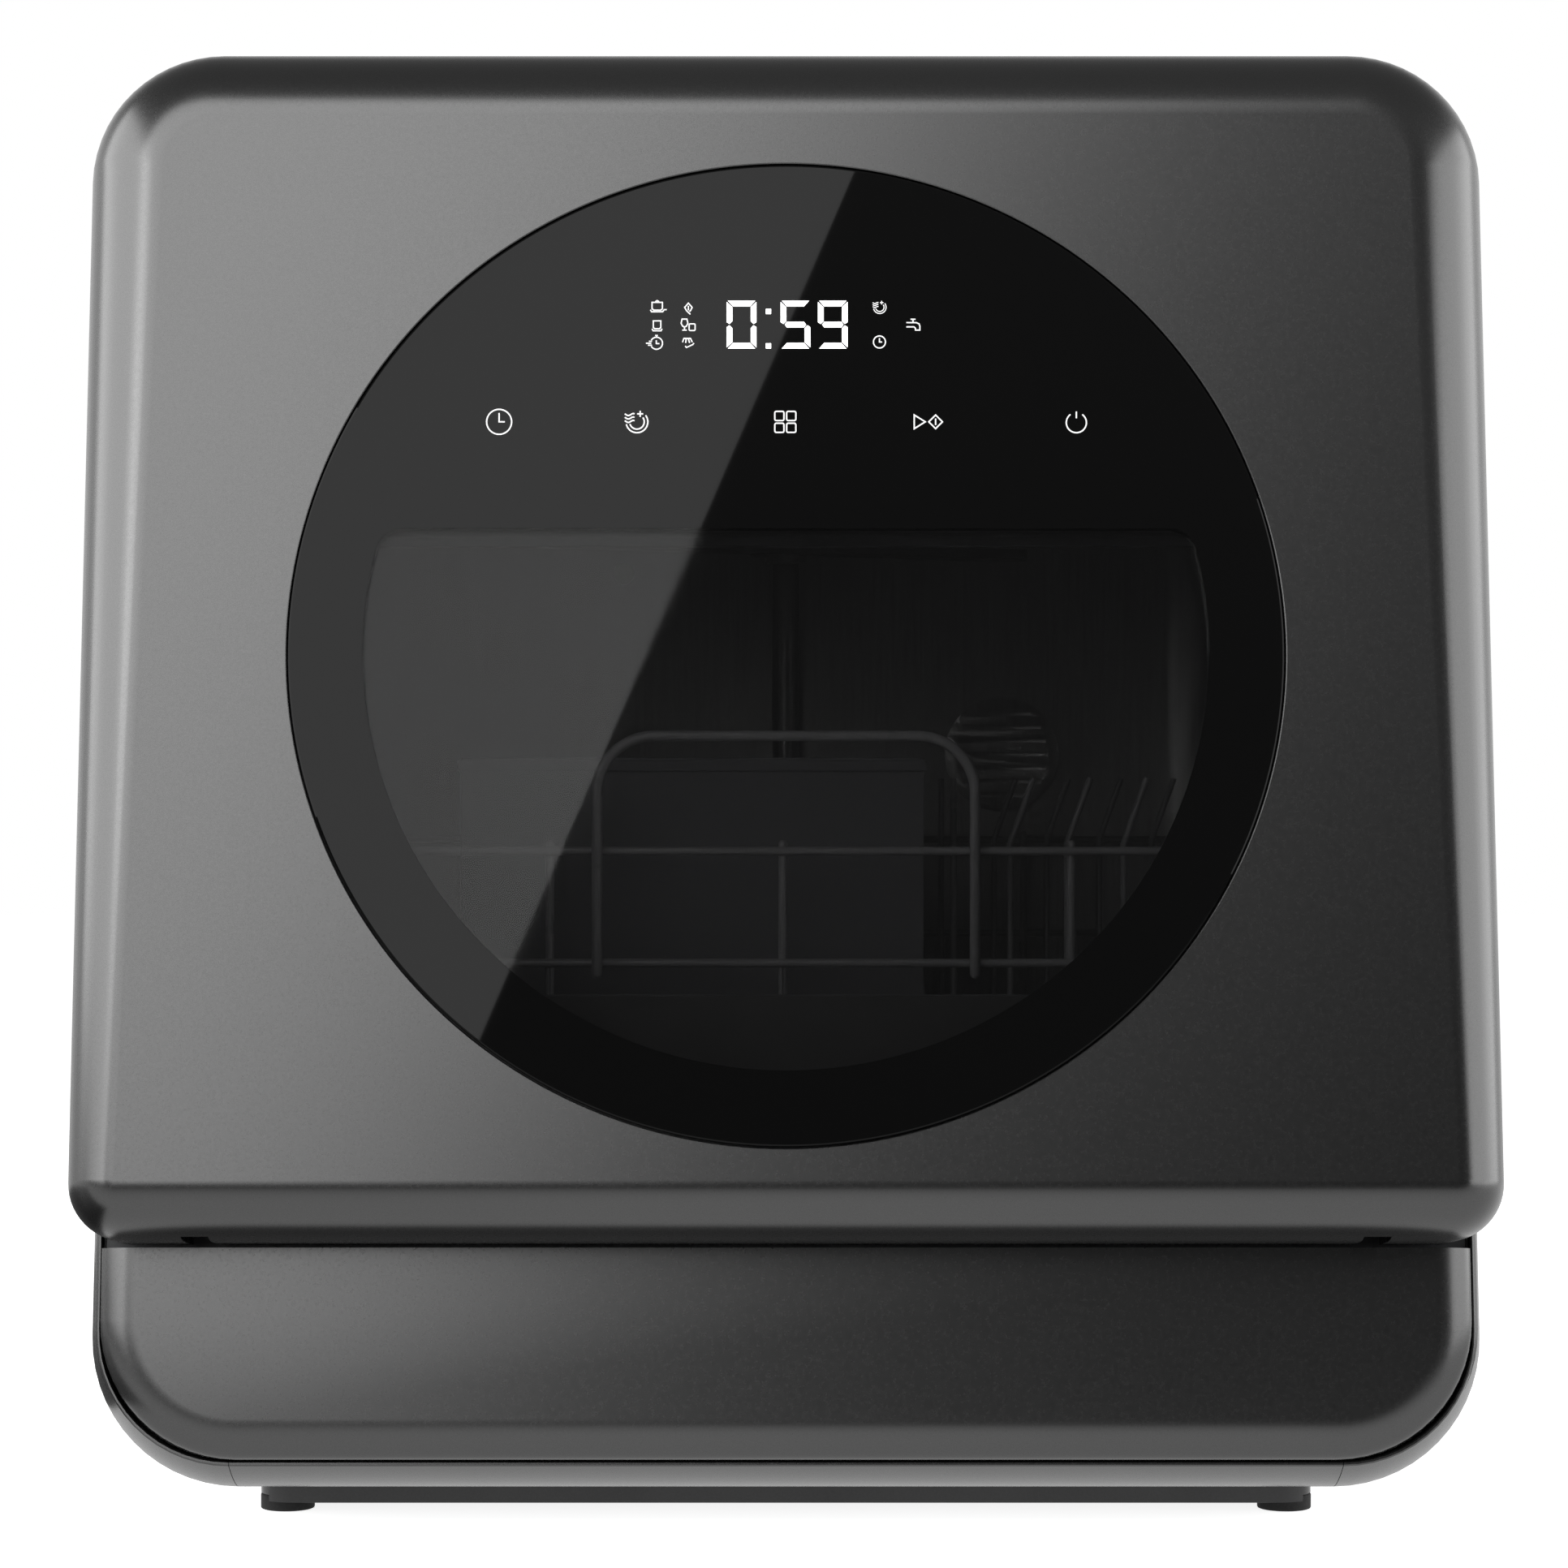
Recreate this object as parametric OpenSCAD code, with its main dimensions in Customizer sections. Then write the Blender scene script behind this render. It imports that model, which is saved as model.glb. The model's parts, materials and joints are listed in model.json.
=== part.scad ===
/* [Overall] */
// Width of the housing and of the door
body_w = 420; // [410:5:450]
// Depth from the door's face to the ends of the rear fittings
body_d = 430; // [425:5:460]
// Height of the housing's top above the table
housing_h = 441; // [438:1:460]
// Backward lean of the whole front, in degrees
lean = 8.5; // [7:0.5:9]

/* [Housing] */
// Wall of the painted casing
housing_wall = 2.5; // [2:0.5:3]
// Height of the casing's underside above the table
underside_h = 12; // [10:1:16]
// Corner radius along the lower edges
housing_low_r = 45; // [40:1:50]
// Corner radius along the upper edges
housing_top_r = 40; // [35:1:45]
// Depth over which the front rim swells to the full width
rim_flare_d = 28; // [24:1:32]
// How far the rear edges draw in
rear_inset = 8; // [5:1:10]
// Width of the flange that the rear cover screws to
rear_flange_w = 12; // [10:1:14]
// Thickness of the rear cover
rear_cover_t = 3; // [2:0.5:4]
// Reach of the rear fittings past the cover
fitting_reach = 12; // [10:1:15]

/* [Foot] */
// Width of the plinth under the casing
plinth_w = 325; // [300:5:340]
// Depth of the plinth, front to back
plinth_d = 280; // [260:5:290]
// Corner radius of the plinth
plinth_r = 10.8; // [10:0.2:14]
// Wall of the plinth
plinth_wall = 3; // [2:0.5:4]
// Radius of each rubber pad
pad_r = 8.3; // [7:0.1:9]
// Height of each rubber pad
pad_h = 4.8; // [4:0.2:6]
// How far the pads stand below the plinth
pad_proud = 3; // [2:0.5:3.5]

/* [Door] */
// Length of the door along its slope
door_len = 358.7; // [355:0.1:362]
// Height of the door's lower edge above the table
door_low_h = 90; // [86:1:96]
// Thickness in front of the door's widest line
door_front_t = 25; // [22:1:28]
// Thickness behind the door's widest line
door_back_t = 20; // [18:1:21]
// Corner radius at the door's top
door_top_r = 40; // [34:1:46]
// Corner radius at the door's bottom
door_low_r = 17; // [15:1:20]
// Width of the soft rounding round the door's face
door_round = 24; // [18:1:28]
// Wall of the door's outer shell
door_wall = 3; // [2:0.5:4]
// Thickness of the door's inner liner
liner_t = 3; // [2:0.5:4]
// Height of the hinge axis above the door's lower edge
hinge_up = 9; // [8.5:0.5:10]
// Radius of the hinge pins
hinge_pin_r = 2.5; // [2:0.25:3]

/* [Window] */
// Radius of the round glass
glass_r = 146; // [130:1:148]
// Thickness of the round glass
glass_t = 4; // [3:0.5:5]
// Height of the glass centre along the door
glass_up = 172.2; // [168:0.1:176]
// Radius of the clear part of the glass
window_r = 124; // [110:1:126]
// Height of the clear part's straight top above the glass centre
window_top = 35.6; // [30:0.1:38]
// Thickness of the inner pane
pane_t = 4; // [3:0.5:4]

/* [Lower panel] */
// Distance from the casing's side to the panel's side
panel_side = 6.5; // [5:0.5:8]
// How far the panel's face lies behind the door's widest line
panel_face_u = 15; // [14:0.5:17]
// Corner radius of the panel
panel_r = 41; // [36:1:44]
// Width of the panel's rounding
panel_round = 12; // [9:1:14]

/* [Tub] */
// Space between the casing's side and the tub
tub_side = 45; // [42:1:55]
// Height of the tub's underside above the table
tub_low_h = 118; // [114:1:122]
// Height of the tub from underside to top
tub_h = 200; // [190:1:204]
// Space between the tub's rear wall and the rear cover
tub_back_gap = 50; // [44:1:60]
// Wall of the tub
tub_wall = 1.8; // [1.5:0.1:2.5]
// Radius of the tub's rear corners
tub_rear_r = 25; // [15:1:30]

/* [Rack] */
// Gap between the rack's side wires and the tub wall
rack_side_gap = 15; // [14:1:17]
// Height of the rack's floor above the tub's underside
rack_floor_up = 25; // [24:0.5:27]
// Height of the rack's top rail above its floor
rack_rail_up = 60.6; // [50:0.1:70]
// Height of the rack's middle rail above its floor
rack_mid_up = 26.5; // [20:0.1:32]
// Radius of the rack's wires
rack_wire_r = 1.3; // [1:0.1:1.6]
// Radius of the handle's wire
handle_wire_r = 1.6; // [1.2:0.1:2]
// Half the width of the handle loop
handle_half = 57.4; // [50:0.2:64]
// Height of the handle loop above the rack's floor
handle_up = 95.6; // [85:0.1:98]
// Radius of the rack's wheels
wheel_r = 8; // [7:0.5:8]
// Distance between neighbouring plate tines
tine_pitch = 18.1; // [15:0.1:18.5]
// Depth of the cutlery basket
basket_d = 70; // [50:1:78]
// Width of the cutlery basket
basket_w = 143; // [120:1:146]
// Height of the cutlery basket
basket_h = 87.5; // [60:0.5:96]

/* [Water parts] */
// Reach of each lower spray arm blade
lower_arm_r = 130; // [100:1:132]
// Reach of each upper spray arm blade
upper_arm_r = 95; // [60:1:100]
// Space between the water tank and the casing's top
tank_top_gap = 32.7; // [25:0.1:50]
// Inner radius of the sump
sump_r = 37.5; // [34:0.5:40]
// Radius of the wash pump's volute
volute_r = 36; // [30:1:38]
// Outer radius of the inlet thread
inlet_r = 13.2; // [12:0.1:14]
// Outer radius of the drain spigot
drain_r = 9.5; // [8:0.1:11]
// Radius of the lid over the water filler
fill_lid_r = 40; // [36:1:44]

/* [Hidden] */
$fn = 64;

// How far a cutting solid runs past what it cuts
over = 1;
// Thickness of the thin rings that a rounded form is drawn over
sliver = 0.2;
// Gap at which one piece is seated on another
seat = 0.1;
// Gap round a piece that drops into an opening
fit_gap = 0.3;
// Radial play of a shaft in its bore
play = 0.05;

paint = "#4a4a4c";
dark = "#1d1d1f";
steel = "#b9bcc0";
grey = "#6f7276";
wire = "#3c3d40";
rubber = "#18181a";
white = "#d8d8d4";

// The leaning frame has its origin on the door's widest line at its lower edge:
// x runs across, y runs back square to the door, z runs up along the door.
door_front_y = -body_d / 2;
door_tip = sqrt(pow(door_front_t * cos(lean), 2) + pow(door_low_r * sin(lean), 2));
door_base_y = door_front_y + door_tip - door_low_r * sin(lean);
function front_y(back, up) = door_base_y + back * cos(lean) + up * sin(lean);
function front_z(back, up) = door_low_h - back * sin(lean) + up * cos(lean);
function up_at(z, back) = (z - door_low_h + back * sin(lean)) / cos(lean);

// Casing
rear_y = body_d / 2 - fitting_reach;
cover_y = rear_y - rear_cover_t;
flange_t = 2.5;
flange_y = cover_y - flange_t;
rim_u = 24;
rim_lip = 1.2;
rim_low_lip = 1.6;
panel_gap = 0.3;
panel_half = body_w / 2 - panel_side;
frame_u = 26;
frame_t = 3;
panel_low_h = underside_h + 11.7;
panel_low = up_at(panel_low_h, frame_u);
mouth_half = panel_half + panel_gap;
mouth_low = panel_low - panel_gap;
rim_side = panel_side - panel_gap - rim_lip;
rim_low = mouth_low - rim_low_lip - up_at(underside_h, rim_u);
mouth_top = up_at(housing_h, rim_u) - rim_side - rim_lip;
// Share of the flare's depth and share of the rim's inset, ring by ring
rim_rings = [[0, 1], [0.25, 0.5], [0.57, 0.17], [1, 0]];
mouth_straight = 30;
rear_round = 11;
pan_half = body_w / 2 - housing_low_r;
pan_gap = 0.15;
pan_cut_h = 30;
pan_top = underside_h + housing_wall;
// Points of the pan's section: out along the underside, back along its inner face
pan_outer = [for (ring = rim_rings) let (u = rim_u + ring[0] * rim_flare_d,
    up = up_at(underside_h, u) + ring[1] * rim_low) [front_y(u, up), front_z(u, up)]];
pan_rear = [[cover_y - seat, underside_h], [cover_y - seat, pan_top]];
pan_back_u = rim_u + rim_flare_d;
pan_inner = [[front_y(pan_back_u, up_at(pan_top, pan_back_u)), pan_top],
    [front_y(mouth_straight, mouth_low), front_z(mouth_straight, mouth_low)],
    [front_y(rim_u, mouth_low), front_z(rim_u, mouth_low)]];
tub_post_x = 112;
tub_post_y = [-120, 125];
vent_y = 60;
vent_d = 24;
vent_pitch = 14;
vent_w = 6;
plinth_front_y = door_front_y + 87;
plinth_low_h = pad_proud;
plinth_hollow_h = 4.5;
screw_shares = [0.15, 0.5, 0.85];
screw_bore_r = 1.7;
gland_h = 120;
gland_bore_r = 3.5;
gland_r = 6;

// Door
liner_u = door_back_t - liner_t;
hinge_y = front_y(0, hinge_up);
hinge_eye_r = hinge_pin_r + 3;
hinge_x = body_w / 2 - 38;
hinge_arm_t = 5;
hinge_slot_w = hinge_arm_t + 3;
hinge_slot_up = hinge_up + hinge_eye_r + 1;
hinge_cheek_t = 8;
panel_top_gap = 1;
pane_half = 134;
pane_low = glass_up - 103.7;
pane_top = glass_up + window_top + 9.2;
pane_r = 12;
pane_lap = 6;
pane_u = liner_u - pane_t;
carrier_t = 2;
carrier_u = glass_t - door_front_t;
carrier_back_u = carrier_u + carrier_t;
shroud_half = 137;
shroud_low = glass_up - 129.2;
shroud_top = pane_top + 2;
shroud_plate_u = 2;
board_u = -12;
board_low = shroud_top + 7;
touch_places = [-83.5, -43.6, -0.4, 41.4, 84.4];
board_half = 100;
board_h_up = 62;
strike_up = door_len - 28;

// Tub and rack
tub_half = body_w / 2 - tub_side;
tub_back_y = cover_y - tub_back_gap;
tub_top_h = tub_low_h + tub_h;
tub_floor_h = tub_low_h + tub_wall;
tub_corner_r = 12;
opening_half = tub_half - 4;
opening_low = up_at(tub_low_h + 3, frame_u);
opening_top = up_at(tub_top_h - 3, frame_u);
opening_r = 10;
rack_half = tub_half - tub_wall - rack_side_gap + 0.2;
rack_front_y = hinge_y + 49.7;
rack_back_y = tub_back_y - 20;
rack_low_h = tub_low_h + rack_floor_up;
rack_rail_h = rack_low_h + rack_rail_up;
rack_weld = 1.4 * rack_wire_r;
rack_floor_pitch = 24;
rack_cross_shares = [0.16, 0.5, 0.84];
rail_top_h = rack_low_h - 15;
rail_half_w = 6.1;
wheel_x = rack_half + 6.5;
wheel_w = 5;
wheel_h = rail_top_h + wheel_r + fit_gap;
wheel_front_y = rack_front_y + 97;
wheel_rear_y = rack_back_y - 25;
axle_r = 2;
axle_end = 10;
carrier_plate_t = 2;
front_posts = [-72, -1, 87];
side_posts = [0.2, 0.42, 0.64, 0.86];
tine_r = 1;
tine_base_r = 1.3;
tine_tilt = 19.7;
tine_rows = [65, 173];
tine_rise = 21;
tine_first_x = rack_half - 94.9;
basket_x = rack_half - 105.9;
basket_y = rack_front_y + 20;
basket_low_h = rack_low_h + rack_wire_r + fit_gap;
basket_wall = 2;

// Detergent cup in the door, between the lower edges of the opening and of the pane
cup_x = -60;
cup_half_x = 24;
cup_wall = 2;
cup_guide_w = 3;
cup_low_up = opening_low + cup_guide_w / 2 + 1.27;
cup_top_up = pane_low - 5.5;
cup_half_up = (cup_top_up - cup_low_up) / 2;
cup_up = (cup_low_up + cup_top_up) / 2;
lid_slide = 44;

// Water parts
sump_x = -70;
sump_y = -25;
sump_wall = 2.5;
sump_low_h = tub_low_h - 50;
hub_x = 0;
hub_y = (rack_front_y + rack_back_y) / 2;
arm_low_h = tub_floor_h + 6.9;
pump_y = sump_y;
pump_h = tub_low_h - 48;
suction_h = pump_h + 14;
volute_x = 50;
volute_w = 26;
motor_len = 70;
motor_r = 30;
heater_x = 62;
heater_y = 50;
heater_r = 20;
heater_low_h = tub_low_h - 66;
pump_out_x = heater_x;
pump_out_y = pump_y + 43;
pump_out_h = pump_h + 24;
duct_low_h = tub_low_h - 14;
duct_post_r = 9;
spindle_r = 6;
lower_arm_h = 9;
riser_r = 5;
riser_y = tub_back_y - tub_wall - riser_r - 3;
ceiling_pipe_h = tub_top_h - tub_wall - riser_r - seat;
upper_arm_h = 4.5;
upper_arm_low_h = ceiling_pipe_h - riser_r - 1 - upper_arm_h;
fitting_h = 62;
fitting_x = body_w / 2 - 70;
neck_cut = 0.3;
neck_end_y = rear_y + fit_gap;
inlet_x = fitting_x;
inlet_bore_r = 9;
valve_half = 18;
valve_port_r = 6;
valve_out_y = cover_y - 24;
drain_x = -fitting_x;
drain_h = tub_low_h - 22;
drain_pump_h = sump_low_h + 16;
drain_motor_r = 20;
drain_motor_len = 41;
drain_pump_r = 24;
drain_face_y = sump_y - sump_r - sump_wall - 10;
drain_out_y = drain_face_y - 13;
drain_port_r = 8;
drain_bore_r = 6;
drain_bend_r = 22;
drain_hose_r = drain_r + 2;
drain_plug_len = 27;
tank_half = tub_half - 5;
fill_x = tank_half - 80;
fill_y = 60;
tank_low_h = tub_top_h + fit_gap;
tank_h = housing_h - tank_top_gap - tank_low_h;
tank_wall = 2.5;
tank_front_y = -60;
tank_back_y = tub_back_y - 5;
tank_port_h = tank_low_h + tank_h / 2 - 4;
tank_port_r = 6;
tank_neck_r = 25;
transfer_x = -60;
transfer_h = tank_low_h + 18;
transfer_low_h = tub_top_h - 16;
transfer_bore_r = 4;
funnel_r = 30;
flange_h = 1.2;
lid_gap_h = 0.3;
fill_lid_t = 1.9;
lid_axis_h = housing_h + 2.2;
lid_axis_y = fill_y + fill_lid_r + 6;
lid_barrel_r = 1.5;
lid_pin_r = 0.7;

// Air and power
fan_x = fitting_x - 60;
fan_h = tub_low_h + 117;
fan_half = 35;
fan_d = 27;
fan_duct_r = 18;
fan_grille_half = 28;
fan_hub_r = 11;
board_x_half = 60;
board_y = 92;
board_d = 80;
board_h = 30;
board_t = 1.6;

// An outline across x and up y with its lower and upper corners rounded
module rounded_outline(half, low, top, r_low, r_top) {
    translate([-half + r_low, low]) square([2 * (half - r_low), r_low]);
    translate([-half, low + r_low]) square([2 * half, top - low - r_low - r_top]);
    translate([-half + r_top, top - r_top]) square([2 * (half - r_top), r_top]);
    for (side = [-1, 1]) {
        translate([side * (half - r_low), low + r_low]) circle(r_low);
        translate([side * (half - r_top), top - r_top]) circle(r_top);
    }
}

module lean_frame() {
    translate([0, door_base_y, door_low_h]) rotate([-lean, 0, 0]) children();
}

// A flat outline turned into a plate parallel to the leaning front
module front_plate(from_u, to_u) {
    lean_frame() translate([0, to_u, 0]) rotate([90, 0, 0]) linear_extrude(to_u - from_u) children();
}

// The same in an upright plane, from y to y
module upright_plate(from_y, to_y) {
    translate([0, to_y, 0]) rotate([90, 0, 0]) linear_extrude(to_y - from_y) children();
}

// A box in the leaning frame, given by its low and high corners
module lean_box(low, high) {
    lean_frame() translate(low) cube(high - low);
}

module box(low, high) {
    translate(low) cube(high - low);
}

// Cylinders along x, y and z, each from its low end
module rod_x(r, len) {
    rotate([0, 90, 0]) cylinder(r = r, h = len);
}

module rod_y(r, len) {
    rotate([-90, 0, 0]) cylinder(r = r, h = len);
}

module tube_x(r, bore, len) {
    difference() {
        rod_x(r, len);
        translate([-over, 0, 0]) rod_x(bore, len + 2 * over);
    }
}

module tube_y(r, bore, len) {
    difference() {
        rod_y(r, len);
        translate([0, -over, 0]) rod_y(bore, len + 2 * over);
    }
}

// One corner of a softly rounded panel, revolved about its own axis, which points back
module pillow_corner(r, round_w, front, back) {
    steps = 6;
    rotate([90, 0, 0]) rotate_extrude($fn = 48)
        polygon(concat([[0, -back], [r, -back]],
            [for (i = [0 : steps]) [r - round_w * (1 - cos(90 * i / steps)), front * sin(90 * i / steps)]],
            [[0, front]]));
}

module housing_outline(inset) {
    rounded_outline(body_w / 2 - inset, underside_h + inset, housing_h - inset,
        housing_low_r - inset, housing_top_r - inset);
}

// One ring of the casing's front rim, drawn in by a side and a lower inset
module rim_ring(depth_share, inset_share, inset) {
    ring_u = rim_u + depth_share * rim_flare_d;
    side = inset_share * rim_side + inset;
    low = inset_share * rim_low + inset;
    front_plate(ring_u, ring_u + sliver)
        rounded_outline(body_w / 2 - side, up_at(underside_h, ring_u) + low,
            up_at(housing_h, ring_u) - side, housing_low_r - side, housing_top_r - side);
}

module housing_form() {
    hull() {
        for (ring = rim_rings) rim_ring(ring[0], ring[1], 0);
        upright_plate(rear_y - rear_round, rear_y - rear_round + sliver) housing_outline(0);
        upright_plate(rear_y - sliver, rear_y) housing_outline(rear_inset);
    }
}

module housing_hollow() {
    hull() {
        front_plate(rim_u - over, mouth_straight) mouth_outline(0);
        for (i = [2, 3]) rim_ring(rim_rings[i][0], rim_rings[i][1], housing_wall);
        upright_plate(rear_y - rear_round, rear_y - rear_round + sliver) housing_outline(housing_wall);
        upright_plate(rear_y - sliver, rear_y + over) housing_outline(rear_inset + housing_wall);
    }
}

module mouth_outline(inset) {
    rounded_outline(mouth_half - inset, mouth_low + inset, mouth_top - inset,
        panel_r + panel_gap - inset, housing_top_r - rim_side - rim_lip - inset);
}

// Painted casing: top, sides and the rounded lower corners
module outer_housing() {
    color(paint) {
        difference() {
            housing_form();
            housing_hollow();
            box([-pan_half, -body_d, 0], [pan_half, body_d, pan_cut_h]);
            translate([fill_x, fill_y, housing_h - 10]) cylinder(r = funnel_r + 0.5, h = 20);
        }
        rear_flange();
    }
}

// Inner return flange that the rear cover is screwed to
module rear_flange() {
    difference() {
        upright_plate(flange_y, cover_y - seat) housing_outline(rear_inset - 1);
        upright_plate(flange_y - over, cover_y + over)
            housing_outline(rear_inset + housing_wall + rear_flange_w - 2);
        box([-pan_half, -body_d, 0], [pan_half, body_d, pan_cut_h]);
        rear_screw_places() translate([0, -15, 0]) rod_y(screw_bore_r, 30);
    }
}

module rear_screw_places() {
    for (side = [-1, 1], share = screw_shares)
        translate([side * (body_w / 2 - 15.5), cover_y, underside_h + share * (housing_h - underside_h)])
            children();
}

// Floor of the casing with the posts that carry the tub, pump, heater and board
module base_pan() {
    pump_foot_x = volute_x + volute_w + 20;
    drain_foot_y = drain_face_y - drain_motor_len + 6;
    color(paint) difference() {
        union() {
            rotate([90, 0, 90]) translate([0, 0, -pan_half + pan_gap])
                linear_extrude(2 * (pan_half - pan_gap)) polygon(concat(pan_outer, pan_rear, pan_inner));
            for (side = [-1, 1], y = tub_post_y)
                translate([side * tub_post_x, y, pan_top - sliver])
                    cylinder(r = 6, h = tub_low_h - pan_top + sliver - seat);
            translate([heater_x, heater_y, pan_top - sliver])
                cylinder(r = 12, h = heater_low_h - pan_top + sliver - seat);
            box([pump_foot_x, pump_y - 10, pan_top - sliver],
                [pump_foot_x + 25, pump_y + 10, pump_h - motor_r - seat]);
            box([sump_x - 8, drain_foot_y - 25, pan_top - sliver],
                [sump_x + 8, drain_foot_y, drain_pump_h - drain_motor_r - seat]);
            translate([sump_x, sump_y, pan_top - sliver])
                cylinder(r = 14, h = sump_low_h - pan_top + sliver - seat);
            for (side = [-1, 1], y = [board_y + 6, board_y + board_d - 6])
                translate([side * (board_x_half - 8), y, pan_top - sliver])
                    cylinder(r = 4, h = board_h - pan_top + sliver - seat);
        }
        for (i = [-3 : 3])
            box([i * vent_pitch - vent_w / 2, vent_y, underside_h - over],
                [i * vent_pitch + vent_w / 2, vent_y + vent_d, pan_top + over]);
    }
}

module plinth_shape(inset) {
    half = plinth_w / 2 - inset;
    rounded_outline(half, plinth_front_y + inset, plinth_front_y + plinth_d - inset,
        plinth_r - inset, plinth_r - inset);
}

module pad_places() {
    for (side = [-1, 1], y = [plinth_front_y + pad_r + 1.5, plinth_front_y + plinth_d - pad_r - 1.5])
        translate([side * (plinth_w / 2 - pad_r), y, 0]) children();
}

// Recessed bar under the casing, open below, with a pocket for each pad
module plinth() {
    color(dark) difference() {
        translate([0, 0, plinth_low_h]) linear_extrude(underside_h - plinth_low_h - seat) plinth_shape(0);
        difference() {
            translate([0, 0, plinth_low_h - over])
                linear_extrude(plinth_hollow_h + over) plinth_shape(plinth_wall);
            pad_places() cylinder(r = pad_r + 4, h = 20);
        }
        pad_places() translate([0, 0, -over]) cylinder(r = pad_r + seat, h = pad_h + over + seat);
    }
}

module foot_pads() {
    color(rubber) pad_places() cylinder(r = pad_r, h = pad_h);
}

// Softly rounded form of the lower panel, drawn in by inset
module panel_form(inset, back) {
    lean_frame() hull() for (side = [-1, 1], up = [panel_low + panel_r, -panel_top_gap])
        translate([side * (panel_half - panel_r), rim_u - 2, up])
            pillow_corner(panel_r - inset, panel_round - inset / 2, rim_u - 2 - panel_face_u - inset, back);
}

module lower_front_panel() {
    color(paint) difference() {
        panel_form(0, frame_u - rim_u + 2 - seat);
        panel_form(2.5, frame_u - rim_u + 2 + over);
        lean_box([-body_w, -body_d, -panel_top_gap], [body_w, body_d, housing_h]);
    }
}

// Frame behind the door that joins the tub to the casing
module front_frame() {
    color(grey) difference() {
        front_plate(frame_u, frame_u + frame_t) mouth_outline(panel_gap);
        front_plate(frame_u - over, frame_u + frame_t + over) opening_outline(0);
        for (side = [-1, 1])
            lean_box([side * hinge_x - 3.1, frame_u - over, hinge_up - hinge_eye_r - 1],
                [side * hinge_x + 3.1, frame_u + frame_t + over, hinge_slot_up]);
        lean_box([-9, frame_u - over, strike_up - 8], [9, frame_u + frame_t + over, strike_up + 8]);
    }
}

module opening_outline(grow) {
    rounded_outline(opening_half + grow, opening_low - grow, opening_top + grow,
        opening_r + grow, opening_r + grow);
}

// Rubber seal that the closed door presses on
module door_gasket() {
    color(rubber) difference() {
        front_plate(door_back_t + fit_gap, frame_u - seat) opening_outline(9);
        front_plate(door_back_t - over, frame_u + over) opening_outline(1);
    }
}

module rear_cover() {
    color(dark) difference() {
        upright_plate(cover_y, rear_y) housing_outline(rear_inset + housing_wall + fit_gap);
        translate([inlet_x, cover_y - over, fitting_h]) rod_y(inlet_r + fit_gap, 10);
        translate([drain_x, cover_y - over, drain_h]) rod_y(drain_r + fit_gap, 10);
        translate([inlet_x, cover_y - over, gland_h]) rod_y(gland_r + sliver, 10);
        for (i = [-4 : 4])
            box([fan_x + i * 7 - 1.5, cover_y - over, fan_h - fan_grille_half],
                [fan_x + i * 7 + 1.5, rear_y + over, fan_h + fan_grille_half]);
        for (i = [-6 : 6])
            box([i * 10 - 2, cover_y - over, 32], [i * 10 + 2, rear_y + over, 52]);
        rear_screw_places() translate([0, -5, 0]) rod_y(screw_bore_r, 30);
    }
}

module rear_screws() {
    color(steel) rear_screw_places() {
        translate([0, -flange_t - 4, 0]) rod_y(1.5, flange_t + 4 + rear_cover_t + seat + 0.5);
        translate([0, rear_cover_t + seat, 0]) difference() {
            rod_y(3.5, 2);
            box([-0.5, 1.2, -2.4], [0.5, 4, 2.4]);
            box([-2.4, 1.2, -0.5], [2.4, 4, 0.5]);
        }
    }
}

// Space inside walls set in by inset
module tub_form(inset) {
    intersection() {
        upright_plate(-body_d, tub_back_y - inset)
            rounded_outline(tub_half - inset, tub_low_h + inset, tub_top_h - inset,
                tub_corner_r - inset, tub_corner_r - inset);
        translate([0, 0, tub_low_h + inset]) linear_extrude(tub_h - 2 * inset)
            rounded_outline(tub_half - inset, -body_d, tub_back_y - inset, 1, tub_rear_r - inset);
    }
}

module in_front_of(u) {
    lean_box([-body_w, -body_d, -body_d], [body_w, u, 2 * body_d]);
}

module tub() {
    color(steel) difference() {
        tub_form(0);
        tub_form(tub_wall);
        in_front_of(frame_u + frame_t + seat);
        translate([sump_x, sump_y, tub_low_h - over]) cylinder(r = sump_r, h = 5);
        translate([hub_x, hub_y, tub_low_h - over]) cylinder(r = 9 + fit_gap, h = 5);
        translate([0, riser_y, tub_low_h - over]) cylinder(r = riser_r + fit_gap, h = 5);
        translate([transfer_x, tub_back_y - 5, transfer_low_h]) rod_y(transfer_bore_r, 10);
        translate([fan_x, tub_back_y - 5, fan_h]) rod_y(fan_duct_r, 10);
    }
}

// Ledges that the rack's wheels roll on
module rack_rails() {
    rail_front_y = front_y(frame_u + frame_t, up_at(rail_top_h, frame_u + frame_t)) + 1;
    color(steel) for (side = [-1, 1])
        translate([side * (tub_half - tub_wall - 7), 0, 0])
            box([-rail_half_w, rail_front_y, rail_top_h - 2],
                [rail_half_w, tub_back_y - tub_rear_r, rail_top_h]);
}

// Steel arm and plate on each side, carrying the hinge pins
module hinge_brackets() {
    plate_u = frame_u + frame_t + seat;
    color(steel) for (side = [-1, 1]) difference() {
        union() {
            lean_box([side * hinge_x - hinge_arm_t / 2, 0, hinge_up - hinge_eye_r],
                [side * hinge_x + hinge_arm_t / 2, plate_u + 3, hinge_up + hinge_eye_r]);
            lean_frame() translate([side * hinge_x - hinge_arm_t / 2, 0, hinge_up])
                rod_x(hinge_eye_r, hinge_arm_t);
            lean_box([side * (hinge_x + 6) - 12, plate_u, -20],
                [side * (hinge_x + 6) + 12, plate_u + 3, 40]);
        }
        lean_frame() translate([side * hinge_x - 10, 0, hinge_up]) rod_x(hinge_pin_r + play, 20);
    }
}

module hinge_pins() {
    color(steel) for (side = [-1, 1])
        lean_frame() translate([side * hinge_x - 10, 0, hinge_up]) rod_x(hinge_pin_r, 20);
}

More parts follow.
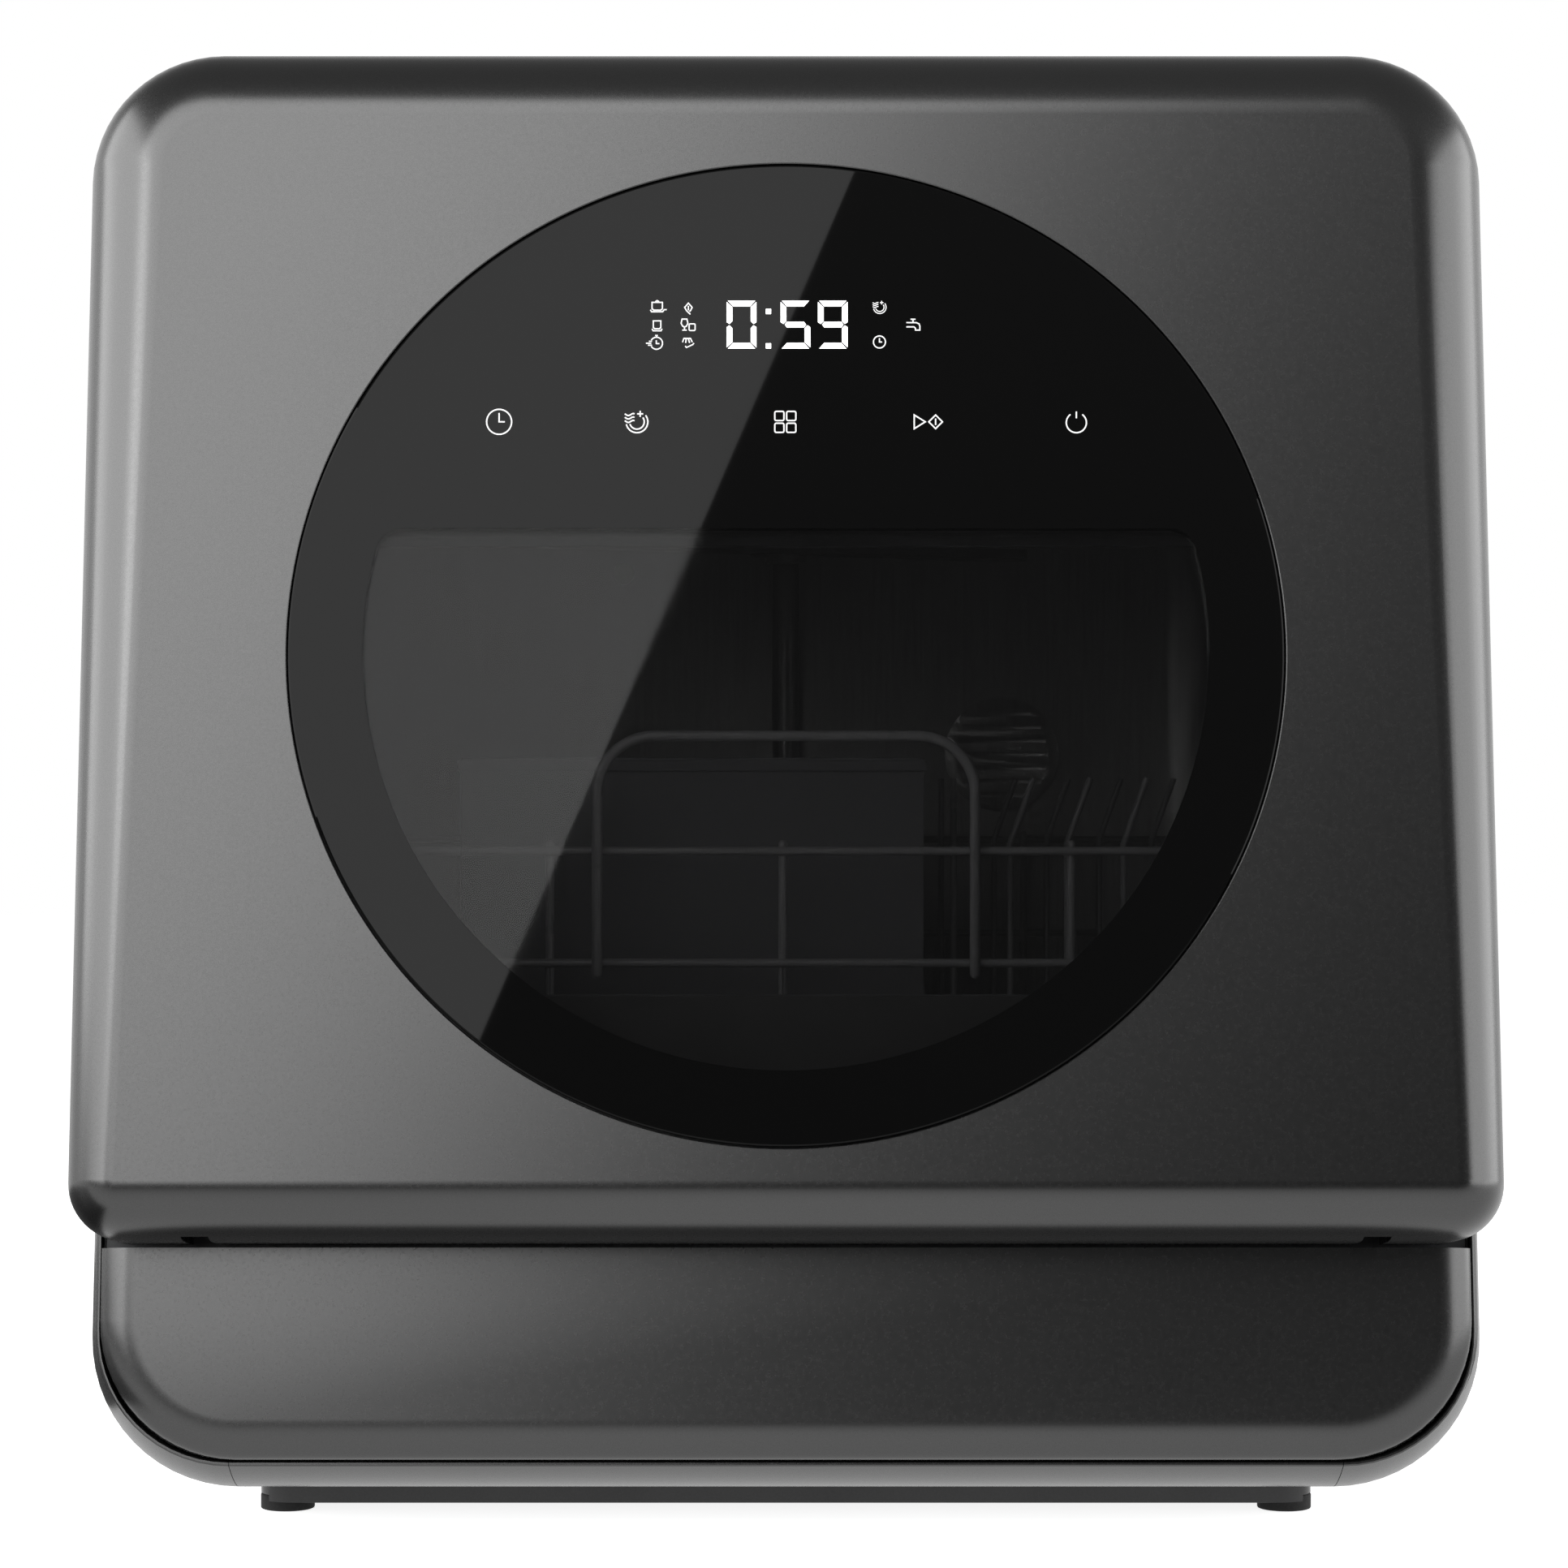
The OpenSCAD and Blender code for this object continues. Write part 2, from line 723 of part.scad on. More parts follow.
// Box behind the frame that the door's strike enters
module latch_housing() {
    front_u = frame_u + frame_t + seat;
    color(dark) difference() {
        lean_box([-22, front_u, strike_up - 14], [22, front_u + 23, strike_up + 14]);
        lean_box([-10, front_u - over, strike_up - 9], [10, front_u + 18, strike_up + 9]);
    }
}

module sump() {
    outer = sump_r + sump_wall;
    color(dark) difference() {
        union() {
            translate([sump_x, sump_y, sump_low_h]) cylinder(r = outer, h = tub_low_h - sump_low_h - seat);
            translate([sump_x, sump_y, tub_low_h - 3]) cylinder(r = outer + 8, h = 3 - seat);
            translate([sump_x, sump_y, suction_h]) rod_x(12, outer + 12);
            translate([sump_x, sump_y - outer - 18, drain_pump_h]) rod_y(9, outer);
        }
        translate([sump_x, sump_y, sump_low_h + sump_wall]) cylinder(r = sump_r, h = 60);
        translate([sump_x, sump_y, suction_h]) rod_x(10, 80);
        translate([sump_x, sump_y - outer - 30, drain_pump_h]) rod_y(7, outer + 30);
    }
}

// Perforated plate round the filter on the tub's floor
module coarse_filter() {
    color(steel) difference() {
        translate([sump_x, sump_y, tub_floor_h + seat]) cylinder(r = 58, h = 1);
        translate([sump_x, sump_y, tub_floor_h - over]) cylinder(r = 31, h = 5);
        for (i = [0 : 23])
            translate([sump_x, sump_y, tub_floor_h - over]) rotate(i * 15) translate([34.5, 0, 0])
                cylinder(r = 1.3, h = 5);
    }
}

// Lift-out cylinder with a twist grip
module fine_filter() {
    low = sump_low_h + sump_wall + seat;
    grip = tub_floor_h + 1 + 2 * seat;
    color(grey) difference() {
        union() {
            translate([sump_x, sump_y, low]) cylinder(r = 30, h = grip - low + 0.5);
            translate([sump_x, sump_y, grip]) cylinder(r = 33, h = 1.4);
            translate([sump_x - 26, sump_y - 3, grip]) cube([52, 6, 4]);
        }
        translate([sump_x, sump_y, low + 2]) cylinder(r = 28, h = grip - low - 2);
    }
}

// Straight rubber sleeves from the sump to the wash pump and from the pump to the heater
module pump_hoses() {
    suction_x = sump_x + sump_r + sump_wall + 2;
    color(rubber) {
        translate([suction_x, pump_y, suction_h]) tube_x(15, 12 + play, volute_x - 2 - suction_x);
        translate([pump_out_x, pump_out_y - 8, pump_out_h])
            tube_y(12, 9 + play, heater_y - heater_r - pump_out_y + 7);
    }
}

// Volute and motor of the circulation pump, hollow where the impeller runs
module wash_pump() {
    color(grey) difference() {
        union() {
            translate([volute_x, pump_y, pump_h]) rod_x(volute_r, volute_w);
            translate([volute_x - 12, pump_y, suction_h]) rod_x(12, 14);
            translate([volute_x + volute_w - sliver, pump_y, pump_h]) rod_x(motor_r, motor_len);
            translate([pump_out_x, pump_y, pump_out_h]) rod_y(9, pump_out_y - pump_y);
        }
        translate([volute_x + 3, pump_y, pump_h]) rod_x(volute_r - 3, volute_w - 6);
        translate([volute_x - 20, pump_y, suction_h]) rod_x(10, 25);
        translate([pump_out_x, pump_y + 10, pump_out_h]) rod_y(7, 80);
        translate([volute_x + volute_w - 5, pump_y, pump_h]) rod_x(3 + play, 30);
    }
}

module wash_impeller() {
    color(white) translate([volute_x + 8, pump_y, pump_h]) {
        rod_x(8, 12);
        rod_x(3, 38);
        translate([9, 0, 0]) rod_x(28, 2);
        for (i = [0 : 5]) rotate([60 * i, 0, 0]) translate([0, -1, 7]) cube([10, 2, 20]);
    }
}

// Flow heater that stands on the pan under the spray duct
module flow_heater() {
    color(steel) difference() {
        union() {
            translate([heater_x, heater_y, heater_low_h])
                cylinder(r = heater_r, h = duct_low_h - heater_low_h - seat);
            translate([heater_x, heater_y - heater_r - 8, pump_out_h]) rod_y(9, 20);
        }
        translate([heater_x, heater_y, heater_low_h + 2])
            cylinder(r = heater_r - 2, h = duct_low_h - heater_low_h - 4);
        translate([heater_x, heater_y, duct_low_h - 5]) cylinder(r = 7, h = 10);
        translate([heater_x, heater_y - heater_r - 10, pump_out_h]) rod_y(7, 20);
    }
}

// Flat duct under the tub that feeds both spray arms, with the lower arm's spindle
module spray_duct() {
    duct_h = tub_low_h - duct_low_h - seat;
    arm_top_h = arm_low_h + lower_arm_h;
    color(dark) difference() {
        union() {
            duct_run(13, duct_low_h, duct_h);
            translate([hub_x, hub_y, duct_low_h + 3])
                cylinder(r = duct_post_r, h = arm_low_h - duct_low_h - seat - 3.3);
            translate([hub_x, hub_y, duct_low_h + 4])
                cylinder(r = spindle_r, h = arm_top_h - duct_low_h - 3);
            translate([hub_x, hub_y, arm_top_h + fit_gap]) cylinder(r = spindle_r + 3, h = 2);
        }
        duct_run(11, duct_low_h + 2, duct_h - 4);
        translate([hub_x, hub_y, duct_low_h + 5]) cylinder(r = 4, h = arm_top_h - duct_low_h - 6);
        translate([heater_x, heater_y, duct_low_h - over]) cylinder(r = 7, h = 5);
        translate([0, riser_y, tub_low_h - 5]) cylinder(r = 3.5, h = 10);
    }
}

// The duct's two straight runs in plan, from the hub to the heater and to the riser
module duct_run(half, low, high) {
    shoulder = 4;
    from = duct_post_r + 0.2;
    for (place = [[hub_x, hub_y], [heater_x, heater_y], [0, riser_y]])
        translate([place[0], place[1], low]) cylinder(r = half, h = high);
    for (end = [[heater_x, heater_y], [0, riser_y]])
        translate([hub_x, hub_y, low]) rotate(atan2(end[1] - hub_y, end[0] - hub_x))
            translate([from, shoulder - half, 0])
                cube([norm(end - [hub_x, hub_y]) - from, 2 * (half - shoulder), high]);
}

// A straight flat blade with round ends across the hub
module blade(reach, half, high) {
    translate([-reach + half, -half, 0]) cube([2 * (reach - half), 2 * half, high]);
    for (side = [-1, 1]) translate([side * (reach - half), 0, 0]) cylinder(r = half, h = high);
}

module lower_spray_arm() {
    color(grey) difference() {
        union() {
            translate([hub_x, hub_y, arm_low_h]) cylinder(r = 15, h = lower_arm_h);
            translate([hub_x, hub_y, arm_low_h + 1]) blade(lower_arm_r, 13, lower_arm_h - 2);
        }
        translate([hub_x, hub_y, arm_low_h - over]) cylinder(r = spindle_r + play, h = 20);
        for (side = [-1, 1], i = [0 : 3])
            translate([hub_x + side * (lower_arm_r - 20 - 24 * i), hub_y + side * 5, arm_low_h + 5])
                cylinder(r = 1.6, h = 10);
    }
}

// Pipe up the tub's rear wall and along its ceiling to the upper arm
module riser_pipe() {
    bend_r = 9;
    color(grey) {
        translate([0, riser_y, tub_low_h]) cylinder(r = riser_r, h = ceiling_pipe_h - bend_r - tub_low_h);
        translate([0, riser_y - bend_r, ceiling_pipe_h - bend_r]) upright_bend(bend_r, riser_r);
        translate([0, hub_y, ceiling_pipe_h]) rod_y(riser_r, riser_y - bend_r - hub_y);
        translate([hub_x, hub_y, ceiling_pipe_h]) sphere(riser_r);
        translate([hub_x, hub_y, upper_arm_low_h - 1])
            cylinder(r = 4, h = ceiling_pipe_h - upper_arm_low_h);
        translate([hub_x, hub_y, upper_arm_low_h - 2.5]) cylinder(r = 7, h = 2.2);
    }
}

// Quarter bend lying in the x-y plane, from +x round to +y
module flat_bend(bend_r, r) {
    rotate_extrude(angle = 90) translate([bend_r, 0]) circle(r);
}

// Quarter bend standing in the y-z plane, from +y round to +z
module upright_bend(bend_r, r) {
    rotate([90, 0, 90]) flat_bend(bend_r, r);
}

module upper_spray_arm() {
    color(grey) difference() {
        translate([hub_x, hub_y, upper_arm_low_h]) union() {
            cylinder(r = 12, h = upper_arm_h);
            translate([0, 0, 0.5]) rotate(30) blade(upper_arm_r, 9, upper_arm_h - 1);
        }
        translate([hub_x, hub_y, upper_arm_low_h - over]) cylinder(r = 4 + play, h = 10);
    }
}

// Drain pump on the sump's front port
module drain_pump() {
    color(dark) difference() {
        union() {
            translate([sump_x, drain_face_y - 26, drain_pump_h]) rod_y(drain_pump_r, 24);
            translate([sump_x, drain_face_y - drain_motor_len - 25, drain_pump_h])
                rod_y(drain_motor_r, drain_motor_len);
            translate([sump_x - 42, drain_out_y, drain_h]) rod_x(drain_port_r, 40);
        }
        translate([sump_x, drain_face_y - 12, drain_pump_h]) rod_y(9 + play, 20);
        translate([sump_x, drain_face_y - 20, drain_pump_h]) rod_y(drain_bore_r, 20);
        translate([sump_x - 60, drain_out_y, drain_h]) rod_x(drain_bore_r, 60);
        translate([sump_x, drain_out_y, drain_pump_h])
            cylinder(r = drain_bore_r - 1, h = drain_h - drain_pump_h);
    }
}

// Hose from the drain pump, round one bend and straight to the rear
module drain_hose() {
    start_x = sump_x - 28;
    bend_x = drain_x + drain_bend_r;
    bend_y = drain_out_y + drain_bend_r;
    color(rubber) difference() {
        union() {
            translate([bend_x, drain_out_y, drain_h]) rod_x(drain_hose_r, start_x - bend_x);
            translate([bend_x, bend_y, drain_h]) rotate(180) flat_bend(drain_bend_r, drain_hose_r);
            translate([drain_x, bend_y, drain_h]) rod_y(drain_hose_r, cover_y - 9 - bend_y);
        }
        translate([bend_x, drain_out_y, drain_h]) rod_x(drain_port_r + play, start_x - bend_x + 5);
        translate([bend_x, bend_y, drain_h]) rotate(180) flat_bend(drain_bend_r, drain_port_r + play);
        translate([drain_x, bend_y, drain_h]) rod_y(drain_port_r + play, cover_y - bend_y);
        translate([drain_x, cover_y - drain_plug_len - 1, drain_h]) rod_y(drain_r + play, 30);
    }
}

// Spigot with a flange behind the cover and a neck through it
module drain_spigot() {
    color(dark) translate([drain_x, 0, drain_h]) difference() {
        union() {
            translate([0, cover_y - drain_plug_len, 0]) rod_y(drain_r, drain_plug_len - over);
            translate([0, cover_y - 3, 0]) rod_y(16, 3 - seat);
            translate([0, cover_y - over, 0]) rod_y(drain_r - neck_cut, neck_end_y - cover_y + 2 * over);
            translate([0, neck_end_y, 0]) rod_y(drain_r, body_d / 2 - neck_end_y);
        }
        translate([0, cover_y - 40, 0]) rod_y(drain_r - 2, 90);
    }
}

// Solenoid valve with the threaded inlet that passes the rear cover
module inlet_valve() {
    color(white) difference() {
        union() {
            box([inlet_x - valve_half, cover_y - 38, fitting_h - valve_half],
                [inlet_x + valve_half, cover_y - seat, fitting_h + valve_half]);
            translate([inlet_x, cover_y - over, fitting_h])
                rod_y(inlet_r - neck_cut, neck_end_y - cover_y + 2 * over);
            translate([inlet_x, neck_end_y, fitting_h]) rod_y(inlet_r, body_d / 2 - neck_end_y);
            translate([inlet_x, valve_out_y, fitting_h]) cylinder(r = valve_port_r, h = 34);
        }
        translate([inlet_x, cover_y - 15, fitting_h]) rod_y(inlet_bore_r, 60);
        translate([inlet_x, valve_out_y, fitting_h]) cylinder(r = valve_port_r - 2, h = 60);
    }
}

// Hose from the inlet valve up to the tank's rear port
module inlet_hose() {
    bend_r = 16;
    hose_r = valve_port_r + 2.5;
    low = fitting_h + valve_half + 4;
    color(rubber) difference() {
        union() {
            translate([inlet_x, valve_out_y, low]) cylinder(r = hose_r, h = tank_port_h - bend_r - low);
            translate([inlet_x, valve_out_y - bend_r, tank_port_h - bend_r]) upright_bend(bend_r, hose_r);
            translate([inlet_x, tank_back_y + 1, tank_port_h])
                rod_y(hose_r, valve_out_y - bend_r - tank_back_y - 1);
        }
        translate([inlet_x, valve_out_y, low - 5])
            cylinder(r = valve_port_r + play, h = tank_port_h - bend_r - low + 5);
        translate([inlet_x, valve_out_y - bend_r, tank_port_h - bend_r])
            upright_bend(bend_r, tank_port_r + play);
        translate([inlet_x, tank_back_y - 5, tank_port_h])
            rod_y(tank_port_r + play, valve_out_y - bend_r - tank_back_y + 5);
    }
}

// Valve on the rear that lets the tank run down into the tub
module transfer_valve() {
    color(white) {
        box([transfer_x - 15, tub_back_y + seat, tub_top_h - 26],
            [transfer_x + 15, tub_back_y + 18, tub_top_h + 34]);
        translate([transfer_x, tank_back_y + seat, transfer_h]) rod_y(6, 10);
        translate([transfer_x, tub_back_y - 1.5, transfer_low_h]) rod_y(transfer_bore_r - play, 5);
    }
}

module water_tank() {
    color(white) difference() {
        union() {
            box([-tank_half, tank_front_y, tank_low_h], [tank_half, tank_back_y, tank_low_h + tank_h]);
            translate([inlet_x, tank_back_y - 2, tank_port_h]) rod_y(tank_port_r, 10);
        }
        box([-tank_half + tank_wall, tank_front_y + tank_wall, tank_low_h + tank_wall],
            [tank_half - tank_wall, tank_back_y - tank_wall, tank_low_h + tank_h - tank_wall]);
        translate([fill_x, fill_y, tank_low_h + tank_h - 5]) cylinder(r = tank_neck_r, h = 10);
        translate([inlet_x, tank_back_y - 5, tank_port_h]) rod_y(tank_port_r - 2, 30);
        translate([transfer_x, tank_back_y - 5, transfer_h]) rod_y(transfer_bore_r, 30);
    }
}

// Funnel set in the casing's top, with the ears of the lid's hinge
module fill_funnel() {
    top = housing_h + seat;
    low = tank_low_h + tank_h + seat;
    color(dark) difference() {
        union() {
            translate([fill_x, fill_y, low]) cylinder(r = funnel_r, h = top - low + 0.5);
            translate([fill_x, fill_y, top]) cylinder(r = fill_lid_r + 2, h = flange_h);
            for (side = [-1, 1])
                box([fill_x + side * 12 - 2.5, fill_y + fill_lid_r - 2, top],
                    [fill_x + side * 12 + 2.5, lid_axis_y + 1.6, lid_axis_h + 1.5]);
        }
        translate([fill_x, fill_y, low - over]) cylinder(r = tank_neck_r, h = 60);
        translate([fill_x, fill_y, top + flange_h]) cylinder(r = fill_lid_r + 0.5, h = 20);
        translate([fill_x - 30, lid_axis_y, lid_axis_h]) rod_x(lid_pin_r + play, 60);
    }
}

module fill_lid() {
    low = housing_h + seat + flange_h + lid_gap_h;
    color(paint) difference() {
        union() {
            translate([fill_x, fill_y, low]) cylinder(r = fill_lid_r, h = fill_lid_t);
            box([fill_x - 8, fill_y + fill_lid_r - 6, low], [fill_x + 8, lid_axis_y, low + fill_lid_t]);
            translate([fill_x - 8, lid_axis_y, lid_axis_h]) rod_x(lid_barrel_r, 16);
        }
        translate([fill_x - 30, lid_axis_y, lid_axis_h]) rod_x(lid_pin_r + play, 60);
    }
}

module fill_lid_pin() {
    color(steel) translate([fill_x - 14, lid_axis_y, lid_axis_h]) rod_x(lid_pin_r, 28);
}

// Blower on the tub's rear wall that dries the load
module fan_housing() {
    color(dark) difference() {
        box([fan_x - fan_half, tub_back_y + seat, fan_h - fan_half],
            [fan_x + fan_half, tub_back_y + fan_d, fan_h + fan_half]);
        translate([fan_x, tub_back_y + 4, fan_h]) rod_y(fan_half - 4, fan_d - 9);
        translate([fan_x, tub_back_y - 5, fan_h]) rod_y(fan_duct_r, 20);
        difference() {
            translate([fan_x, tub_back_y + 15, fan_h]) rod_y(fan_grille_half, fan_d);
            translate([fan_x, tub_back_y + 10, fan_h]) rod_y(fan_hub_r, 30);
            box([fan_x - fan_half, tub_back_y + 10, fan_h - 2], [fan_x + fan_half, cover_y, fan_h + 2]);
            box([fan_x - 2, tub_back_y + 10, fan_h - fan_half], [fan_x + 2, cover_y, fan_h + fan_half]);
        }
        translate([fan_x, tub_back_y + 10, fan_h]) rod_y(2 + play, 14);
    }
}

module fan_rotor() {
    color(grey) translate([fan_x, tub_back_y + 7, fan_h]) {
        rod_y(10, 13);
        rod_y(2, 16);
        for (i = [0 : 6]) rotate([0, i * 360 / 7, 0]) translate([9, 1, -1]) rotate([20, 0, 0])
            cube([18.5, 8, 1.6]);
    }
}

// Power board on its standoffs with relays, capacitor and terminals
module power_board() {
    color("#2f5d3a") translate([0, board_y, board_h]) {
        box([-board_x_half, 0, 0], [board_x_half, board_d, board_t]);
        for (i = [0 : 2]) box([-50 + i * 24, 50, 1.5], [-32 + i * 24, 66, 17]);
        translate([38, 58, 1.5]) cylinder(r = 9, h = 26);
        box([-50, 8, 1.5], [20, 18, 12]);
        box([28, 8, 1.5], [50, 36, 20]);
    }
}

module mains_gland() {
    color(rubber) translate([inlet_x, 0, gland_h]) difference() {
        union() {
            translate([0, cover_y - 4, 0]) rod_y(gland_r, rear_cover_t + 9);
            translate([0, cover_y - 4, 0]) rod_y(9, 4 - seat);
            translate([0, rear_y + seat, 0]) rod_y(8, 2);
        }
        translate([0, cover_y - 10, 0]) rod_y(gland_bore_r, 40);
    }
}

// A round wire between two points, with round ends
module wire_run(from, to, r) {
    way = to - from;
    translate(from) rotate([0, acos(way[2] / norm(way)), atan2(way[1], way[0])])
        cylinder(r = r, h = norm(way), $fn = 24);
    translate(from) sphere(r, $fn = 24);
    translate(to) sphere(r, $fn = 24);
}

// Distance along y that a share of the rack's depth stands for
function rack_y(share) = rack_front_y + share * (rack_back_y - rack_front_y);

// Rim, long wires and cross wires of the rack's floor
module rack_floor() {
    r = rack_wire_r;
    low = rack_low_h;
    color(wire) {
        for (y = [rack_front_y, rack_back_y]) wire_run([-rack_half, y, low], [rack_half, y, low], r);
        for (side = [-1, 1]) wire_run([side * rack_half, rack_front_y, low],
            [side * rack_half, rack_back_y, low], r);
        for (i = [-5 : 5]) {
            x = i * rack_floor_pitch;
            wire_run([x, rack_front_y + r / 2, low], [x, rack_back_y - r / 2, low], r);
        }
        for (share = rack_cross_shares)
            wire_run([-rack_half, rack_y(share), low - rack_weld],
                [rack_half, rack_y(share), low - rack_weld], r);
    }
}

// Four walls of rails and posts that stand on the floor's rim
module rack_walls() {
    r = rack_wire_r;
    post_low = rack_low_h + 2 * r + play;
    post_top = rack_rail_h + 2;
    rails = [rack_low_h + rack_mid_up, rack_rail_h];
    color(wire) {
        for (end = [-1, 1]) {
            y = rack_y((end + 1) / 2);
            for (z = rails) wire_run([-rack_half, y, z], [rack_half, y, z], r);
            for (x = front_posts) wire_run([x, y - end * rack_weld, post_low],
                [x, y - end * rack_weld, post_top], r);
        }
        for (side = [-1, 1]) {
            post_x = side * (rack_half - rack_weld);
            for (z = rails)
                translate([side * rack_half, rack_front_y + r + play, z])
                    rod_y(r, rack_back_y - rack_front_y - 2 * (r + play), $fn = 24);
            for (share = side_posts) wire_run([post_x, rack_y(share), post_low],
                [post_x, rack_y(share), post_top], r);
        }
        for (side = [-1, 1], y = [wheel_front_y, wheel_rear_y]) wheel_carrier(side, y);
    }
}

// Plate on the outside of the floor's rim with the stub axle of one wheel
module wheel_carrier(side, y) {
    plate_x = rack_half + rack_wire_r + play + carrier_plate_t / 2;
    axle_len = rack_half + axle_end - plate_x;
    translate([side * plate_x - carrier_plate_t / 2, y, 0])
        box([0, -6, wheel_h - 5], [carrier_plate_t, 6, rack_low_h + 1]);
    translate([side * (plate_x + axle_len / 2) - axle_len / 2, y, wheel_h]) rod_x(axle_r, axle_len);
}

// Loop handle welded to the front of the rack
module rack_handle() {
    bend_r = 17.3;
    handle_y = rack_front_y - rack_wire_r - handle_wire_r - play;
    top = rack_low_h + handle_up;
    low = rack_low_h + rack_mid_up - 3;
    color(wire) {
        for (side = [-1, 1]) {
            translate([side * handle_half, handle_y, low])
                cylinder(r = handle_wire_r, h = top - bend_r - low, $fn = 24);
            translate([side * handle_half, handle_y, low]) sphere(handle_wire_r, $fn = 24);
        }
        translate([-handle_half + bend_r, handle_y, top])
            rod_x(handle_wire_r, 2 * (handle_half - bend_r), $fn = 24);
        translate([handle_half - bend_r, handle_y, top - bend_r]) rotate([90, 0, 0])
            rotate_extrude(angle = 90) translate([bend_r, 0]) circle(handle_wire_r);
        translate([-handle_half + bend_r, handle_y, top - bend_r]) rotate([90, 0, 0]) rotate(90)
            rotate_extrude(angle = 90) translate([bend_r, 0]) circle(handle_wire_r);
    }
}

// Two rows of slanted plate tines, each on its own cross wire
module plate_tines() {
    base_h = rack_low_h + rack_wire_r + tine_base_r + play;
    knee_h = rack_rail_h + 1.3;
    tip_h = knee_h + tine_rise;
    color(wire) for (row = tine_rows) {
        y = rack_front_y + row;
        translate([tine_first_x - 4, y, base_h]) rod_x(tine_base_r, 4 * tine_pitch + 8);
        translate([tine_first_x, y, base_h]) cylinder(r = tine_r, h = tip_h - base_h, $fn = 24);
        for (i = [1 : 4])
            translate([tine_first_x + i * tine_pitch, y, 0]) {
                translate([0, 0, base_h]) cylinder(r = tine_r, h = knee_h - base_h, $fn = 24);
                translate([0, 0, knee_h]) rotate([0, tine_tilt, 0])
                    cylinder(r = tine_r, h = (tip_h - knee_h) / cos(tine_tilt), $fn = 24);
                translate([0, 0, knee_h]) sphere(tine_r + play, $fn = 24);
            }
    }
}

module rack_wheel(side, y) {
    color(grey) translate([side * wheel_x - wheel_w / 2, y, wheel_h]) difference() {
        rod_x(wheel_r, wheel_w);
        translate([-over, 0, 0]) rod_x(axle_r + play, wheel_w + 2 * over);
        for (i = [0 : 4]) rotate([i * 72, 0, 0]) translate([-over, 0, 5]) rod_x(1.1, wheel_w + 2 * over);
    }
}

module wheel_front_left() {
    rack_wheel(-1, wheel_front_y);
}

module wheel_front_right() {
    rack_wheel(1, wheel_front_y);
}

module wheel_rear_left() {
    rack_wheel(-1, wheel_rear_y);
}

module wheel_rear_right() {
    rack_wheel(1, wheel_rear_y);
}

// Cutlery basket with three cells, a rim and drain holes
module cutlery_basket() {
    low_x = basket_x - basket_w;
    cell_w = (basket_w - 4 * basket_wall) / 3;
    color("#5a5c60") difference() {
        union() {
            box([low_x, basket_y, basket_low_h], [basket_x, basket_y + basket_d, basket_low_h + basket_h]);
            box([low_x - 1, basket_y - 1, basket_low_h + basket_h - 4],
                [basket_x + 1, basket_y + basket_d + 1, basket_low_h + basket_h - 1]);
        }
        for (i = [0 : 2])
            box([low_x + basket_wall + i * (cell_w + basket_wall), basket_y + basket_wall,
                    basket_low_h + basket_wall],
                [low_x + (i + 1) * (cell_w + basket_wall), basket_y + basket_d - basket_wall,
                    basket_low_h + basket_h + over]);
        for (i = [0 : 2], j = [0 : 2], k = [0 : 3])
            translate([low_x + basket_wall + (i + (j + 0.5) / 3) * (cell_w + basket_wall),
                basket_y + basket_d * (k + 1) / 5, basket_low_h - over]) cylinder(r = 4, h = 5);
        for (k = [0 : 3])
            box([low_x - 5, basket_y + basket_d * (k + 1) / 5 - 2, basket_low_h + 12],
                [basket_x + 5, basket_y + basket_d * (k + 1) / 5 + 2, basket_low_h + basket_h - 14]);
    }
}

// Softly rounded form of the door, drawn in by inset
module door_form(inset, back) {
    top_up = door_len - door_top_r;
    lean_frame() hull() for (side = [-1, 1]) {
        translate([side * (body_w / 2 - door_top_r), 0, top_up])
            pillow_corner(door_top_r - inset, door_round - inset, door_front_t - inset, back);
        translate([side * (body_w / 2 - door_low_r), 0, door_low_r])
            pillow_corner(door_low_r - inset, door_low_r - inset, door_front_t - inset, back);
    }
}

module hinge_slots() {
    for (side = [-1, 1])
        lean_box([side * hinge_x - hinge_slot_w / 2, -hinge_pin_r - 6.5, -over],
            [side * hinge_x + hinge_slot_w / 2, door_back_t + over, hinge_slot_up]);
}

module door_shell() {
    color(paint) difference() {
        door_form(0, door_back_t);
        door_form(door_wall, door_back_t + over);
        lean_frame() translate([0, -door_front_t - over, glass_up]) rod_y(glass_r + 0.4, 20);
        hinge_slots();
    }
}

module door_glass() {
    color("#101012") lean_frame() translate([0, -door_front_t, glass_up]) rod_y(glass_r, glass_t);
}

// Outline of the clear part of the window, grown outward
module window_outline(grow) {
    intersection() {
        translate([0, glass_up]) circle(window_r + grow);
        translate([-body_w, glass_up - body_w]) square([2 * body_w, body_w + window_top + grow]);
    }
}

// Black ring behind the glass that leaves the window clear and takes the display
module glass_carrier() {
    color(dark) difference() {
        union() {
            front_plate(carrier_u + seat, carrier_back_u) translate([0, glass_up]) circle(glass_r + 8);
            lean_frame() translate([0, door_wall - door_front_t + seat, glass_up])
                tube_y(glass_r + 8, glass_r + 0.6, carrier_t);
        }
        front_plate(carrier_u - over, carrier_back_u + over) window_outline(0);
    }
}

// Dark tunnel between the two panes, with the back plate that hides the door's inside
module window_shroud() {
    back_u = shroud_plate_u + 2;
    color(dark) difference() {
        union() {
            front_plate(carrier_back_u + seat, back_u)
                rounded_outline(shroud_half, shroud_low, shroud_top, 90, 20);
            front_plate(shroud_plate_u, pane_u - seat) pane_outline(-pane_lap + 4);
        }
        front_plate(carrier_back_u - over, shroud_plate_u)
            rounded_outline(shroud_half - 2, shroud_low + 2, shroud_top - 2, 88, 18);
        front_plate(carrier_back_u - over, pane_u + over) pane_outline(-pane_lap + 2);
    }
}

